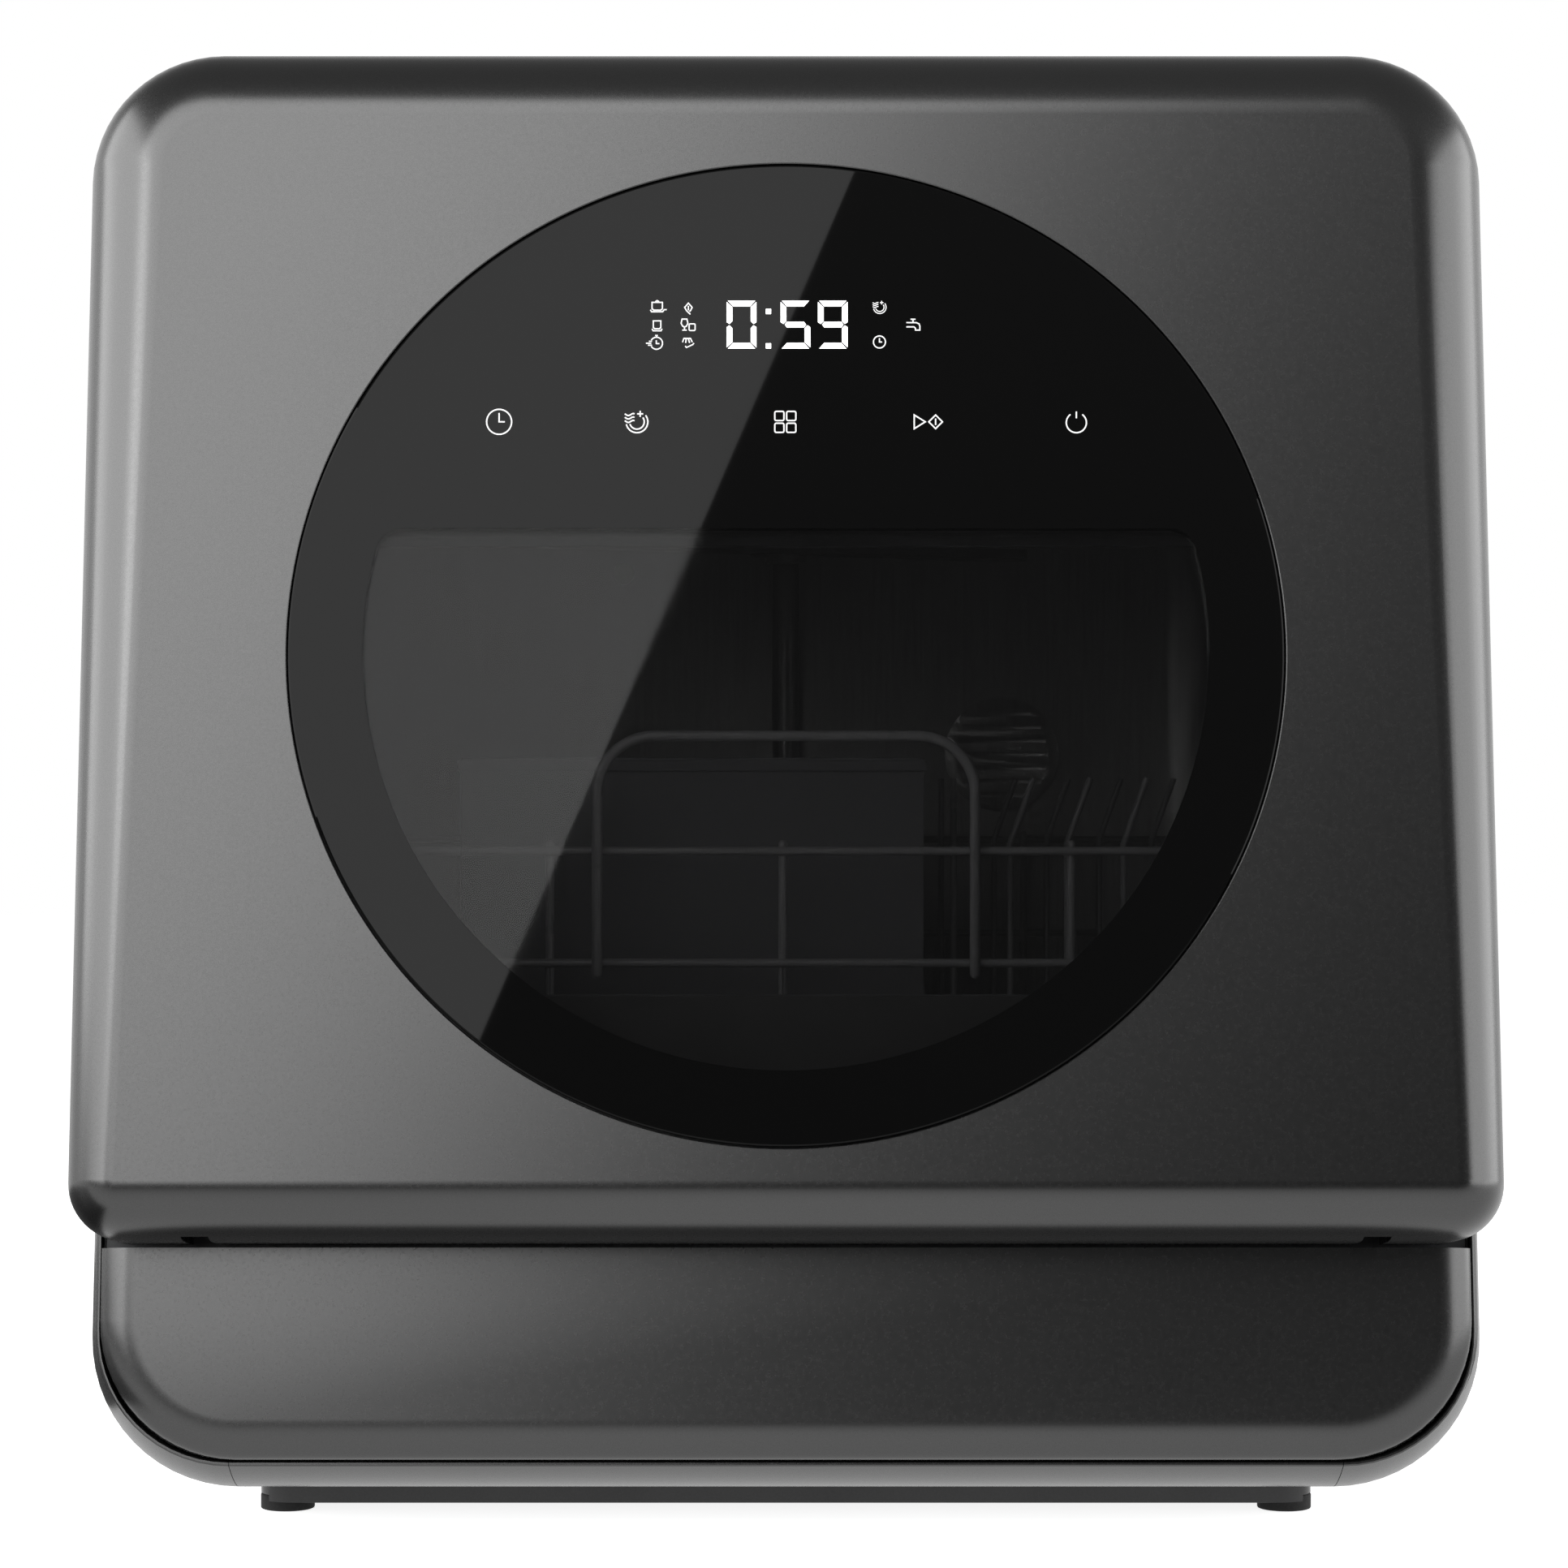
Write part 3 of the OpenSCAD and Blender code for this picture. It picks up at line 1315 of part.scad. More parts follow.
module pane_outline(grow) {
    rounded_outline(pane_half + grow, pane_low - grow, pane_top + grow, pane_r + grow, pane_r + grow);
}

module inner_window() {
    color("#2a2c2e") front_plate(pane_u, liner_u - seat) pane_outline(0);
}

module window_seal() {
    color(rubber) difference() {
        front_plate(pane_u - 1, liner_u - seat) pane_outline(5);
        front_plate(pane_u - 5, liner_u + over) pane_outline(0.2);
    }
}

module door_liner() {
    edge = door_wall + fit_gap;
    color(grey) difference() {
        front_plate(liner_u, door_back_t)
            rounded_outline(body_w / 2 - edge, edge, door_len - edge, door_low_r - edge, door_top_r - edge);
        front_plate(liner_u - over, door_back_t + over) pane_outline(-pane_lap);
        lean_box([cup_x - cup_half_x - fit_gap, 0, cup_up - cup_half_up - fit_gap],
            [cup_x + cup_half_x + fit_gap, 40, cup_up + cup_half_up + fit_gap]);
        lean_box([-7.3, 0, strike_up - 3.3], [7.3, 40, strike_up + 3.3]);
        hinge_slots();
    }
}

// Board with the lit display block and five touch contacts against the carrier
module display_board() {
    front = carrier_back_u + seat;
    color("#22402c") {
        lean_box([-board_half, board_u, board_low],
            [board_half, board_u + board_t, board_low + board_h_up]);
        lean_box([-24, front, board_low + 29], [24, board_u + 0.5, board_low + 51]);
        for (x = touch_places)
            lean_frame() translate([x, front, board_low + 10]) rod_y(4, board_u + 0.5 - front);
        for (i = [-3 : 3])
            lean_box([i * 26 - 6, board_u + 1.5, board_low + 16],
                [i * 26 + 6, board_u + 4, board_low + 26]);
    }
}

// Tongue that the latch holds, with its foot behind the liner
module door_strike() {
    color(steel) difference() {
        union() {
            lean_box([-14, liner_u - 2 - seat, strike_up - 8], [14, liner_u - seat, strike_up + 8]);
            lean_box([-7, liner_u - 1, strike_up - 3], [7, door_back_t + 18, strike_up + 3]);
        }
        lean_box([-4, door_back_t + 10, strike_up - 10], [4, door_back_t + 14, strike_up + 10]);
    }
}

// Cheeks in the door's lower corners that turn on the hinge pins
module hinge_blocks() {
    half = hinge_slot_w / 2 + hinge_cheek_t;
    color(steel) difference() {
        for (side = [-1, 1])
            lean_box([side * hinge_x - half, -7, door_wall + 0.9],
                [side * hinge_x + half, liner_u - 0.2, hinge_slot_up + 8]);
        hinge_slots();
        for (side = [-1, 1])
            lean_frame() translate([side * hinge_x - 20, 0, hinge_up]) rod_x(hinge_pin_r + play, 40);
    }
}

// Cup in the liner with the two guides that its lid slides between
module detergent_cup() {
    cup_back = door_back_t;
    color(white) difference() {
        union() {
            lean_box([cup_x - cup_half_x, 5, cup_up - cup_half_up],
                [cup_x + cup_half_x, cup_back, cup_up + cup_half_up]);
            for (side = [-1, 1])
                lean_box([cup_x - cup_half_x, cup_back, cup_up + side * cup_half_up - cup_guide_w / 2],
                    [cup_x + cup_half_x + lid_slide, cup_back + 2.5,
                        cup_up + side * cup_half_up + cup_guide_w / 2]);
        }
        lean_box([cup_x - cup_half_x + cup_wall, 5 + cup_wall, cup_up - cup_half_up + cup_wall],
            [cup_x + cup_half_x - cup_wall, cup_back + over, cup_up + cup_half_up - cup_wall]);
    }
}

module detergent_lid() {
    color(grey) {
        lean_box([cup_x - cup_half_x + 0.5, door_back_t + fit_gap,
                cup_up - cup_half_up + cup_guide_w / 2 + fit_gap],
            [cup_x + cup_half_x - 0.5, door_back_t + 1.7,
                cup_up + cup_half_up - cup_guide_w / 2 - fit_gap]);
        lean_box([cup_x - 3, door_back_t + 1.6, cup_up - 6], [cup_x + 3, door_back_t + 2.4, cup_up + 6]);
    }
}

outer_housing();
base_pan();
plinth();
foot_pads();
lower_front_panel();
front_frame();
door_gasket();
rear_cover();
rear_screws();
tub();
rack_rails();
hinge_brackets();
hinge_pins();
latch_housing();
sump();
coarse_filter();
fine_filter();
pump_hoses();
wash_pump();
wash_impeller();
flow_heater();
spray_duct();
riser_pipe();
lower_spray_arm();
upper_spray_arm();
drain_pump();
drain_hose();
drain_spigot();
inlet_valve();
inlet_hose();
transfer_valve();
water_tank();
fill_funnel();
fill_lid();
fill_lid_pin();
fan_housing();
fan_rotor();
power_board();
mains_gland();
rack_floor();
rack_walls();
rack_handle();
plate_tines();
wheel_front_left();
wheel_front_right();
wheel_rear_left();
wheel_rear_right();
cutlery_basket();
door_shell();
door_glass();
glass_carrier();
window_shroud();
inner_window();
window_seal();
door_liner();
display_board();
door_strike();
hinge_blocks();
detergent_cup();
detergent_lid();
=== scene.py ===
# %% [markdown]
# A small tabletop dishwasher, dressed for the camera
# The model comes in two layers. The frame holds every working piece at its real size: hinge, rack, pumps,
# tank. This notebook puts the finish on them: smooth painted shells, a smoked round glass with lit digits,
# a brushed steel tub and coated wires. The frame is loaded first, because everything else is placed by it.

import json
import math

import bmesh
import bpy
from mathutils import Matrix, Vector


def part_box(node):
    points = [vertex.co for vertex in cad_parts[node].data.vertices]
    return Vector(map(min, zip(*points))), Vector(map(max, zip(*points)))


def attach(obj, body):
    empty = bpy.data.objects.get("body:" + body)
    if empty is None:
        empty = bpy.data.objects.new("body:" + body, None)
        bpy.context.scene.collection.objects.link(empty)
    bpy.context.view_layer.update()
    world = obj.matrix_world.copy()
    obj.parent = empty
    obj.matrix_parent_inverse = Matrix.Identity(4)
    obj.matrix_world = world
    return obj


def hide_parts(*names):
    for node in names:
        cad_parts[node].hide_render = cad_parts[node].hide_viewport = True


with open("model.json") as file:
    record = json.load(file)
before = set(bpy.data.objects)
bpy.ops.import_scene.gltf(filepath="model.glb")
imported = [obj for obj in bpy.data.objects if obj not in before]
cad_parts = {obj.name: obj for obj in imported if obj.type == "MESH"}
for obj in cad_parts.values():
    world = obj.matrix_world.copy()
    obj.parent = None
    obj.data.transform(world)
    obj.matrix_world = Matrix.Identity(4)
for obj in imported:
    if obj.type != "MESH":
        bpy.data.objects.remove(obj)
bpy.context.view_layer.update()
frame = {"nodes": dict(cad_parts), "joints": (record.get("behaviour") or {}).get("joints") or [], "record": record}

# %% [markdown]
# The camera
# The picture was taken level, from straight in front, with a fairly long lens. A long lens keeps the
# verticals calm, and the slight narrowing of the door towards its top is then the door's own backward lean.

# %% Camera
MM = 0.001
PHOTO_PX = 1932
LENS_MM = 100
SENSOR_MM = 36
CAMERA_AT = Vector((-0.0006, -1.467, 0.224))

camera_data = bpy.data.cameras.new("camera")
camera_data.lens = LENS_MM
camera_data.sensor_width = SENSOR_MM
camera = bpy.data.objects.new("camera", camera_data)
bpy.context.scene.collection.objects.link(camera)
camera.location = CAMERA_AT
camera.rotation_euler = (math.radians(90), 0, 0)
bpy.context.scene.camera = camera
print("camera at", tuple(CAMERA_AT), "lens", LENS_MM)

# %% [markdown]
# The leaning front
# Door, glass and lower panel are all built in one tilted plane. Instead of turning objects, each point is
# worked out in leaning coordinates, across, back and up the slope, and then written in world metres. The
# hinge joint of the frame tells where that plane is, so the shells can't drift from the working parts.

# %% Leaning coordinates
LEAN = math.radians(8.5)
HINGE_UP = 9 * MM
hinge = Vector(next(j for j in frame["joints"] if j["name"] == "door_hinge")["pos_m"])
LEAN_UP = Vector((0, math.sin(LEAN), math.cos(LEAN)))
LEAN_BACK = Vector((0, math.cos(LEAN), -math.sin(LEAN)))
LEAN_ORIGIN = Vector((0, hinge.y, hinge.z)) - HINGE_UP * LEAN_UP


def leaning(x, back, up):
    """World point of a place on the leaning front: across, back from the widest line, up the slope."""
    return LEAN_ORIGIN + Vector((x, 0, 0)) + back * LEAN_BACK + up * LEAN_UP


def up_at(z, back):
    """How far up the slope a plane at depth back reaches height z."""
    return (z - LEAN_ORIGIN.z + back * math.sin(LEAN)) / math.cos(LEAN)


def on_glass(px, py, back):
    """Leaning (across, up) of the point that the photo's pixel shows on the plane at depth back."""
    focal = LENS_MM / SENSOR_MM * PHOTO_PX
    ray = Vector(((px - PHOTO_PX / 2) / focal, 1, (PHOTO_PX / 2 - py) / focal))
    start = leaning(0, back, 0)
    hit = CAMERA_AT + ray * ((start - CAMERA_AT).dot(LEAN_BACK) / ray.dot(LEAN_BACK))
    return hit.x, (hit - start).dot(LEAN_UP)


print("leaning origin", tuple(round(v, 5) for v in LEAN_ORIGIN))

# %% [markdown]
# Mesh helpers
# Most shells here are lofts: a closed outline is extruded ring after ring, and each new ring is given its
# own place. The alternatives are a bevelled box, which can't change its radius along an edge, or a
# subdivision surface, which drifts off the measured size. A loft hits every measured ring exactly.

# %% Mesh helpers
STEPS = 14


def arc(cx, cy, r, start, end, steps=STEPS):
    """Points of a circular arc, angles in degrees."""
    angles = [math.radians(start + (end - start) * i / steps) for i in range(steps + 1)]
    return [(cx + r * math.cos(a), cy + r * math.sin(a)) for a in angles]


def rounded(half, low, top, r_low, r_top, steps=STEPS):
    """Closed outline of a rectangle with two lower and two upper corner radii, anticlockwise."""
    return (arc(half - r_low, low + r_low, r_low, -90, 0, steps) + arc(half - r_top, top - r_top, r_top, 0, 90, steps)
            + arc(-half + r_top, top - r_top, r_top, 90, 180, steps)
            + arc(-half + r_low, low + r_low, r_low, 180, 270, steps))


def loop(bm, points, closed=True):
    """Adds a chain of vertices and edges."""
    verts = [bm.verts.new(p) for p in points]
    pairs = list(zip(verts, verts[1:])) + ([(verts[-1], verts[0])] if closed else [])
    return verts, [bm.edges.new(p) for p in pairs]


def loft(bm, rings, closed=True):
    """Extrudes the first ring through all the others and returns every ring's vertices and the last edges."""
    verts, edges = loop(bm, rings[0], closed)
    made = [verts]
    for ring in rings[1:]:
        grown = bmesh.ops.extrude_edge_only(bm, edges=edges)["geom"]
        fresh = {v for v in grown if isinstance(v, bmesh.types.BMVert)}
        verts = [next(e.other_vert(v) for e in v.link_edges if e.other_vert(v) in fresh) for v in verts]
        for v, p in zip(verts, ring):
            v.co = p
        pairs = list(zip(verts, verts[1:])) + ([(verts[-1], verts[0])] if closed else [])
        edges = [bm.edges.get(p) for p in pairs]
        made.append(verts)
    return made, edges


def edges_of(bm, verts):
    return [bm.edges.get((a, b)) for a, b in zip(verts, verts[1:] + verts[:1])]


def fill_between(bm, edges, normal):
    """Fills the flat region that closed loops of edges enclose, holes left open."""
    bmesh.ops.triangle_fill(bm, edges=edges, use_beauty=True, normal=normal)


def finished(name, bm, merge=1e-6, turn_out=True):
    """Turns a bmesh into a linked object with doubles merged and faces pointing outwards."""
    bmesh.ops.remove_doubles(bm, verts=bm.verts[:], dist=merge)
    bmesh.ops.dissolve_degenerate(bm, edges=bm.edges[:], dist=merge)
    bmesh.ops.delete(bm, geom=[e for e in bm.edges if e.is_wire], context="EDGES")
    if turn_out:
        bmesh.ops.recalc_face_normals(bm, faces=bm.faces[:])
    mesh = bpy.data.meshes.new(name)
    bm.to_mesh(mesh)
    bm.free()
    piece = bpy.data.objects.new(name, mesh)
    bpy.context.scene.collection.objects.link(piece)
    return piece


def smooth(piece, degrees=32):
    piece.data.polygons.foreach_set("use_smooth", [True] * len(piece.data.polygons))
    piece.data.set_sharp_from_angle(angle=math.radians(degrees))


def walled(piece, thickness, offset=-1):
    """Gives an open skin a wall, inwards from its outer face."""
    wall = piece.modifiers.new("wall", "SOLIDIFY")
    wall.thickness = thickness
    wall.offset = offset
    wall.use_even_offset = True
    return piece


def softened(piece, width, segments=2, degrees=35):
    """Rounds every edge sharper than the angle."""
    bevel = piece.modifiers.new("edge", "BEVEL")
    bevel.width = width
    bevel.segments = segments
    bevel.limit_method = "ANGLE"
    bevel.angle_limit = math.radians(degrees)
    bevel.use_clamp_overlap = True
    return piece


def applied(piece, degrees=32):
    """Applies the modifiers, so that the finished mesh is what the piece holds."""
    shaped = piece.evaluated_get(bpy.context.evaluated_depsgraph_get())
    mesh = bpy.data.meshes.new_from_object(shaped)
    piece.modifiers.clear()
    piece.data = mesh
    smooth(piece, degrees)
    return piece


def cut(piece, *cutters):
    """Takes each cutter out of the piece and deletes it."""
    for cutter in cutters:
        hole = piece.modifiers.new("hole", "BOOLEAN")
        hole.operation = "DIFFERENCE"
        hole.solver = "EXACT"
        hole.object = cutter
    applied(piece)
    for cutter in cutters:
        bpy.data.objects.remove(cutter)
    return piece


def block(name, low, high):
    """A box between two corners."""
    bm = bmesh.new()
    bmesh.ops.create_cube(bm, size=1)
    low, high = Vector(low), Vector(high)
    bmesh.ops.scale(bm, vec=high - low, verts=bm.verts[:])
    bmesh.ops.translate(bm, vec=(low + high) / 2, verts=bm.verts[:])
    return finished(name, bm)


def lean_block(name, low, high):
    """A box in leaning coordinates."""
    piece = block(name, low, high)
    for v in piece.data.vertices:
        v.co = leaning(*v.co)
    return piece


def rod(name, start, end, r, segments=48):
    """A round bar between two points."""
    start, end = Vector(start), Vector(end)
    bm = bmesh.new()
    bmesh.ops.create_cone(bm, cap_ends=True, segments=segments, radius1=r, radius2=r, depth=(end - start).length)
    turn = (end - start).to_track_quat("Z", "Y").to_matrix().to_4x4()
    bmesh.ops.transform(bm, matrix=Matrix.Translation((start + end) / 2) @ turn, verts=bm.verts[:])
    return finished(name, bm)


def dress(piece, material, body, slot, *nodes):
    """Gives a finished piece its material and body, and hides the nodes it stands for. The slot is not used."""
    piece.data.materials.clear()
    piece.data.materials.append(material)
    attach(piece, body)
    if nodes:
        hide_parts(*nodes)
    print(piece.name, len(piece.data.polygons), "faces")
    return piece


print("helpers ready")

# %% [markdown]
# Finishes
# Every finish is a Principled shader with its numbers on its own sockets, and a little noise where the real
# surface has grain. Satin paint with metal flake is the important one: the flake gives a broad soft
# highlight, which is what turns a plain box into the grey-to-black fade seen across the door.

# %% Finishes


def shader(name, colour, rough, metal=0.0, specular=0.5, coat=0.0, coat_rough=0.1, ior=1.5, alpha=1.0):
    """A Principled material; returns the material, its nodes and its shader node."""
    material = bpy.data.materials.new(name)
    material.use_nodes = True
    nodes = material.node_tree.nodes
    surface = nodes["Principled BSDF"]
    surface.inputs["Base Color"].default_value = (*colour, 1)
    surface.inputs["Roughness"].default_value = rough
    surface.inputs["Metallic"].default_value = metal
    surface.inputs["Specular IOR Level"].default_value = specular
    surface.inputs["Coat Weight"].default_value = coat
    surface.inputs["Coat Roughness"].default_value = coat_rough
    surface.inputs["IOR"].default_value = ior
    surface.inputs["Alpha"].default_value = alpha
    return material, material.node_tree, surface


def grain(tree, scale, stretch=(1, 1, 1), detail=3):
    """Noise in the piece's own metres, stretched for brushed surfaces."""
    place = tree.nodes.new("ShaderNodeTexCoord")
    mapping = tree.nodes.new("ShaderNodeMapping")
    mapping.inputs["Scale"].default_value = stretch
    noise = tree.nodes.new("ShaderNodeTexNoise")
    noise.inputs["Scale"].default_value = scale
    noise.inputs["Detail"].default_value = detail
    tree.links.new(place.outputs["Object"], mapping.inputs["Vector"])
    tree.links.new(mapping.outputs["Vector"], noise.inputs["Vector"])
    return noise


def spread(tree, noise, low, high, target):
    """Drives a shader number between low and high by the noise."""
    span = tree.nodes.new("ShaderNodeMapRange")
    span.inputs["From Min"].default_value = 0.3
    span.inputs["From Max"].default_value = 0.7
    span.inputs["To Min"].default_value = low
    span.inputs["To Max"].default_value = high
    tree.links.new(noise.outputs["Fac"], span.inputs["Value"])
    tree.links.new(span.outputs["Result"], target)


def tint(tree, noise, dark, light, target):
    """Drives a colour between two by the noise."""
    ramp = tree.nodes.new("ShaderNodeValToRGB")
    ramp.color_ramp.elements[0].position = 0.3
    ramp.color_ramp.elements[1].position = 0.7
    ramp.color_ramp.elements[0].color = (*dark, 1)
    ramp.color_ramp.elements[1].color = (*light, 1)
    tree.links.new(noise.outputs["Fac"], ramp.inputs["Fac"])
    tree.links.new(ramp.outputs["Color"], target)


def relief(tree, noise, depth, surface, strength=1.0):
    """Fine bumps from the noise, depth in metres."""
    bump = tree.nodes.new("ShaderNodeBump")
    bump.inputs["Strength"].default_value = strength
    bump.inputs["Distance"].default_value = depth
    tree.links.new(noise.outputs["Fac"], bump.inputs["Height"])
    tree.links.new(bump.outputs["Normal"], surface.inputs["Normal"])


def shade(value, factor=1.0):
    return (value * factor,) * 3


def satin_paint():
    material, tree, surface = shader("satin_anthracite_paint", shade(0.1), 0.26, metal=1.0)
    flake = grain(tree, 2600, detail=2)
    tint(tree, flake, shade(0.096), shade(0.105), surface.inputs["Base Color"])
    spread(tree, grain(tree, 900), 0.25, 0.28, surface.inputs["Roughness"])
    relief(tree, flake, 0.003 * MM, surface)
    return material


def moulded(name, value, rough, scale=1800, depth=0.02):
    material, tree, surface = shader(name, value, rough)
    pores = grain(tree, scale)
    tint(tree, pores, tuple(v * 0.88 for v in value), tuple(v * 1.12 for v in value), surface.inputs["Base Color"])
    spread(tree, grain(tree, 60), rough - 0.04, rough + 0.05, surface.inputs["Roughness"])
    relief(tree, pores, depth * MM, surface)
    return material


def brushed(name, value, rough, stretch):
    material, tree, surface = shader(name, shade(value), rough, metal=1.0)
    lines = grain(tree, 700, stretch)
    tint(tree, lines, shade(value, 0.9), shade(value, 1.08), surface.inputs["Base Color"])
    spread(tree, lines, rough - 0.06, rough + 0.08, surface.inputs["Roughness"])
    relief(tree, lines, 0.01 * MM, surface)
    return material


def rubber(name, value):
    material, tree, surface = shader(name, shade(value), 0.75, specular=0.35)
    skin = grain(tree, 1200)
    tint(tree, skin, shade(value, 0.8), shade(value, 1.3), surface.inputs["Base Color"])
    relief(tree, skin, 0.03 * MM, surface)
    return material


def polished_black(name):
    material, tree, surface = shader(name, shade(0.0028), 0.015, specular=0.15)
    spread(tree, grain(tree, 12), 0.012, 0.018, surface.inputs["Roughness"])
    return material


def smoked(name, value, alpha, specular, ior):
    material, tree, surface = shader(name, shade(value), 0.02, specular=specular, ior=ior, alpha=alpha)
    spread(tree, grain(tree, 12), 0.01, 0.03, surface.inputs["Roughness"])
    return material


def lit(name, value, strength):
    material, tree, surface = shader(name, shade(value), 0.5)
    surface.inputs["Emission Color"].default_value = (*shade(value), 1)
    surface.inputs["Emission Strength"].default_value = strength
    return material


def board():
    material, tree, surface = shader("solder_resist", (0.02, 0.09, 0.035), 0.35)
    tint(tree, grain(tree, 260, detail=1), (0.016, 0.075, 0.03), (0.03, 0.12, 0.05), surface.inputs["Base Color"])
    return material


paint = satin_paint()
black_plastic = moulded("black_plastic", (0.018, 0.018, 0.019), 0.5)
gloss_black_plastic = moulded("gloss_black_plastic", (0.03, 0.03, 0.031), 0.22, depth=0.004)
matt_black = moulded("matt_black_shroud", (0.008, 0.008, 0.008), 0.8)
grey_plastic = moulded("grey_plastic", (0.05, 0.051, 0.054), 0.45)
basket_plastic = moulded("basket_plastic", (0.085, 0.086, 0.09), 0.42)
pale_plastic = moulded("pale_plastic", (0.62, 0.62, 0.58), 0.4, depth=0.008)
tub_steel = brushed("brushed_tub_steel", 0.36, 0.34, (1, 1, 0.04))
plain_steel = brushed("zinc_plated_steel", 0.5, 0.32, (0.2, 1, 1))
black_rubber = rubber("black_rubber", 0.02)
black_glass = polished_black("polished_black_glass")
window_glass = smoked("smoked_window_glass", 0.004, 0.36, 0.42, 1.5)
pane_glass = smoked("clear_pane_glass", 0.01, 0.12, 0.15, 1.5)
coated_wire = moulded("nylon_coated_wire", (0.2, 0.2, 0.205), 0.3, depth=0.006)
circuit = board()
digit_light = lit("digit_light", 1.0, 1.05)
symbol_light = lit("symbol_light", 0.55, 0.9)

FINISH_OF_SLOT = {
    "painted_casing": paint,
    "dark_plastic": black_plastic,
    "black_glass": black_glass,
    "clear_glass": pane_glass,
    "grey_plastic": grey_plastic,
    "pale_plastic": pale_plastic,
    "stainless_tub": tub_steel,
    "steel_parts": plain_steel,
    "black_rubber": black_rubber,
    "coated_wire": coated_wire,
    "circuit_board": circuit,
}
for row in frame["record"]["subparts"]:
    node = frame["nodes"][row["node"]]
    node.data.materials.clear()
    node.data.materials.append(FINISH_OF_SLOT[row["material_slot"]])
frame["nodes"]["riser_pipe"].data.materials[0] = tub_steel
for node in ("hinge_brackets", "hinge_blocks"):
    frame["nodes"][node].data.materials[0] = paint
frame["nodes"]["cutlery_basket"].data.materials[0] = basket_plastic
frame["nodes"]["window_shroud"].data.materials[0] = matt_black
frame["nodes"]["plinth"].data.materials[0] = gloss_black_plastic
print(len(FINISH_OF_SLOT), "finishes on", len(frame["nodes"]), "nodes")

# %% [markdown]
# The door's painted shell
# On the real door this is one moulded shell whose edges roll softly into the face, tighter at the bottom
# than at the top. The loft starts at the back rim, runs straight forward, then follows a quarter ellipse
# inwards. The flat face is a bridge between the last ring and the hole for the round glass.

# %% Door shell
DOOR_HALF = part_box("door_shell")[1].x
DOOR_LEN = 358.5 * MM
DOOR_FRONT = 24.7 * MM
DOOR_BACK = 20 * MM
DOOR_TOP_R = 40 * MM
DOOR_LOW_R = 17 * MM
DOOR_ROUND_TOP = 24 * MM
DOOR_ROUND_LOW = 16 * MM
DOOR_WALL = 2.8 * MM
GLASS_UP = 172.2 * MM
GLASS_R = 146 * MM
GLASS_SIDES = 224


def door_ring(share, back, edge=0.0):
    """One ring of the door: share 0 is the outline and 1 is the edge of the flat face."""
    points = []
    base = rounded(DOOR_HALF, 0, DOOR_LEN, DOOR_LOW_R, DOOR_TOP_R)
    for x, up in base:
        side = max(0.0, min(1.0, (up - DOOR_LOW_R) / (DOOR_LEN - DOOR_TOP_R - DOOR_LOW_R)))
        inset = (DOOR_ROUND_LOW + (DOOR_ROUND_TOP - DOOR_ROUND_LOW) * side) * share + edge
        r = DOOR_LOW_R if up < DOOR_LEN / 2 else DOOR_TOP_R
        cx = math.copysign(DOOR_HALF - r, x)
        cy = min(max(up, DOOR_LOW_R), DOOR_LEN - DOOR_TOP_R)
        if abs(x) < abs(cx):
            cx = x
        away = Vector((x - cx, up - cy))
        away = away.normalized() if away.length > 1e-7 else Vector((0, 0))
        points.append(leaning(x - away.x * inset, back, up - away.y * inset))
    return points


def circle_on_front(r, back, sides=GLASS_SIDES):
    return [leaning(x, back, up) for x, up in arc(0, GLASS_UP, r, -90, 270, sides)[:-1]]


bm = bmesh.new()
rings = [door_ring(0, DOOR_BACK, 0.9 * MM), door_ring(0, DOOR_BACK - 0.25 * MM, 0.25 * MM), door_ring(0, DOOR_BACK - 0.9 * MM)]
ROUND_STEPS = 16
FLAT_EDGE = 0.6 * MM
for i in range(ROUND_STEPS + 1):
    turn = math.radians(90 * i / ROUND_STEPS)
    rings.append(door_ring(1 - math.cos(turn), -DOOR_FRONT * math.sin(turn)))
rings.append(door_ring(1, -DOOR_FRONT, FLAT_EDGE))
made, face_edges = loft(bm, rings)
hole = GLASS_R + 0.45 * MM
hole_rings, back_edges = loft(bm, [circle_on_front(hole + 0.3 * MM + FLAT_EDGE, -DOOR_FRONT), circle_on_front(hole + 0.3 * MM, -DOOR_FRONT), circle_on_front(hole, -DOOR_FRONT + 0.3 * MM),
                                   circle_on_front(hole, -DOOR_FRONT + 5 * MM)])
fill_between(bm, face_edges + edges_of(bm, hole_rings[0]), LEAN_BACK)
door_panel = walled(finished("door_panel", bm), DOOR_WALL)
HINGE_X = 172 * MM
SLOT_HALF = 4 * MM
slots = [lean_block("slot", (side * HINGE_X - SLOT_HALF, -9 * MM, -1 * MM), (side * HINGE_X + SLOT_HALF, 22 * MM, 15.5 * MM))
         for side in (-1, 1)]
cut(door_panel, *slots)
dress(door_panel, paint, "door", "painted_casing", "door_shell")

# %% [markdown]
# The round glass
# One disc of tempered glass covers the middle of the door. Its rim is printed black behind, and only the
# part in front of the rack is left clear. The printed ring is made as opaque polished black, and the clear
# part as a separate inset of smoked glass, so that each can have its own honest shader.

# %% Round glass
GLASS_FRONT = -DOOR_FRONT
GLASS_BACK = -DOOR_FRONT + 4 * MM
WINDOW_R = 124 * MM
WINDOW_TOP = GLASS_UP + 35.6 * MM
WINDOW_CORNER = 8 * MM


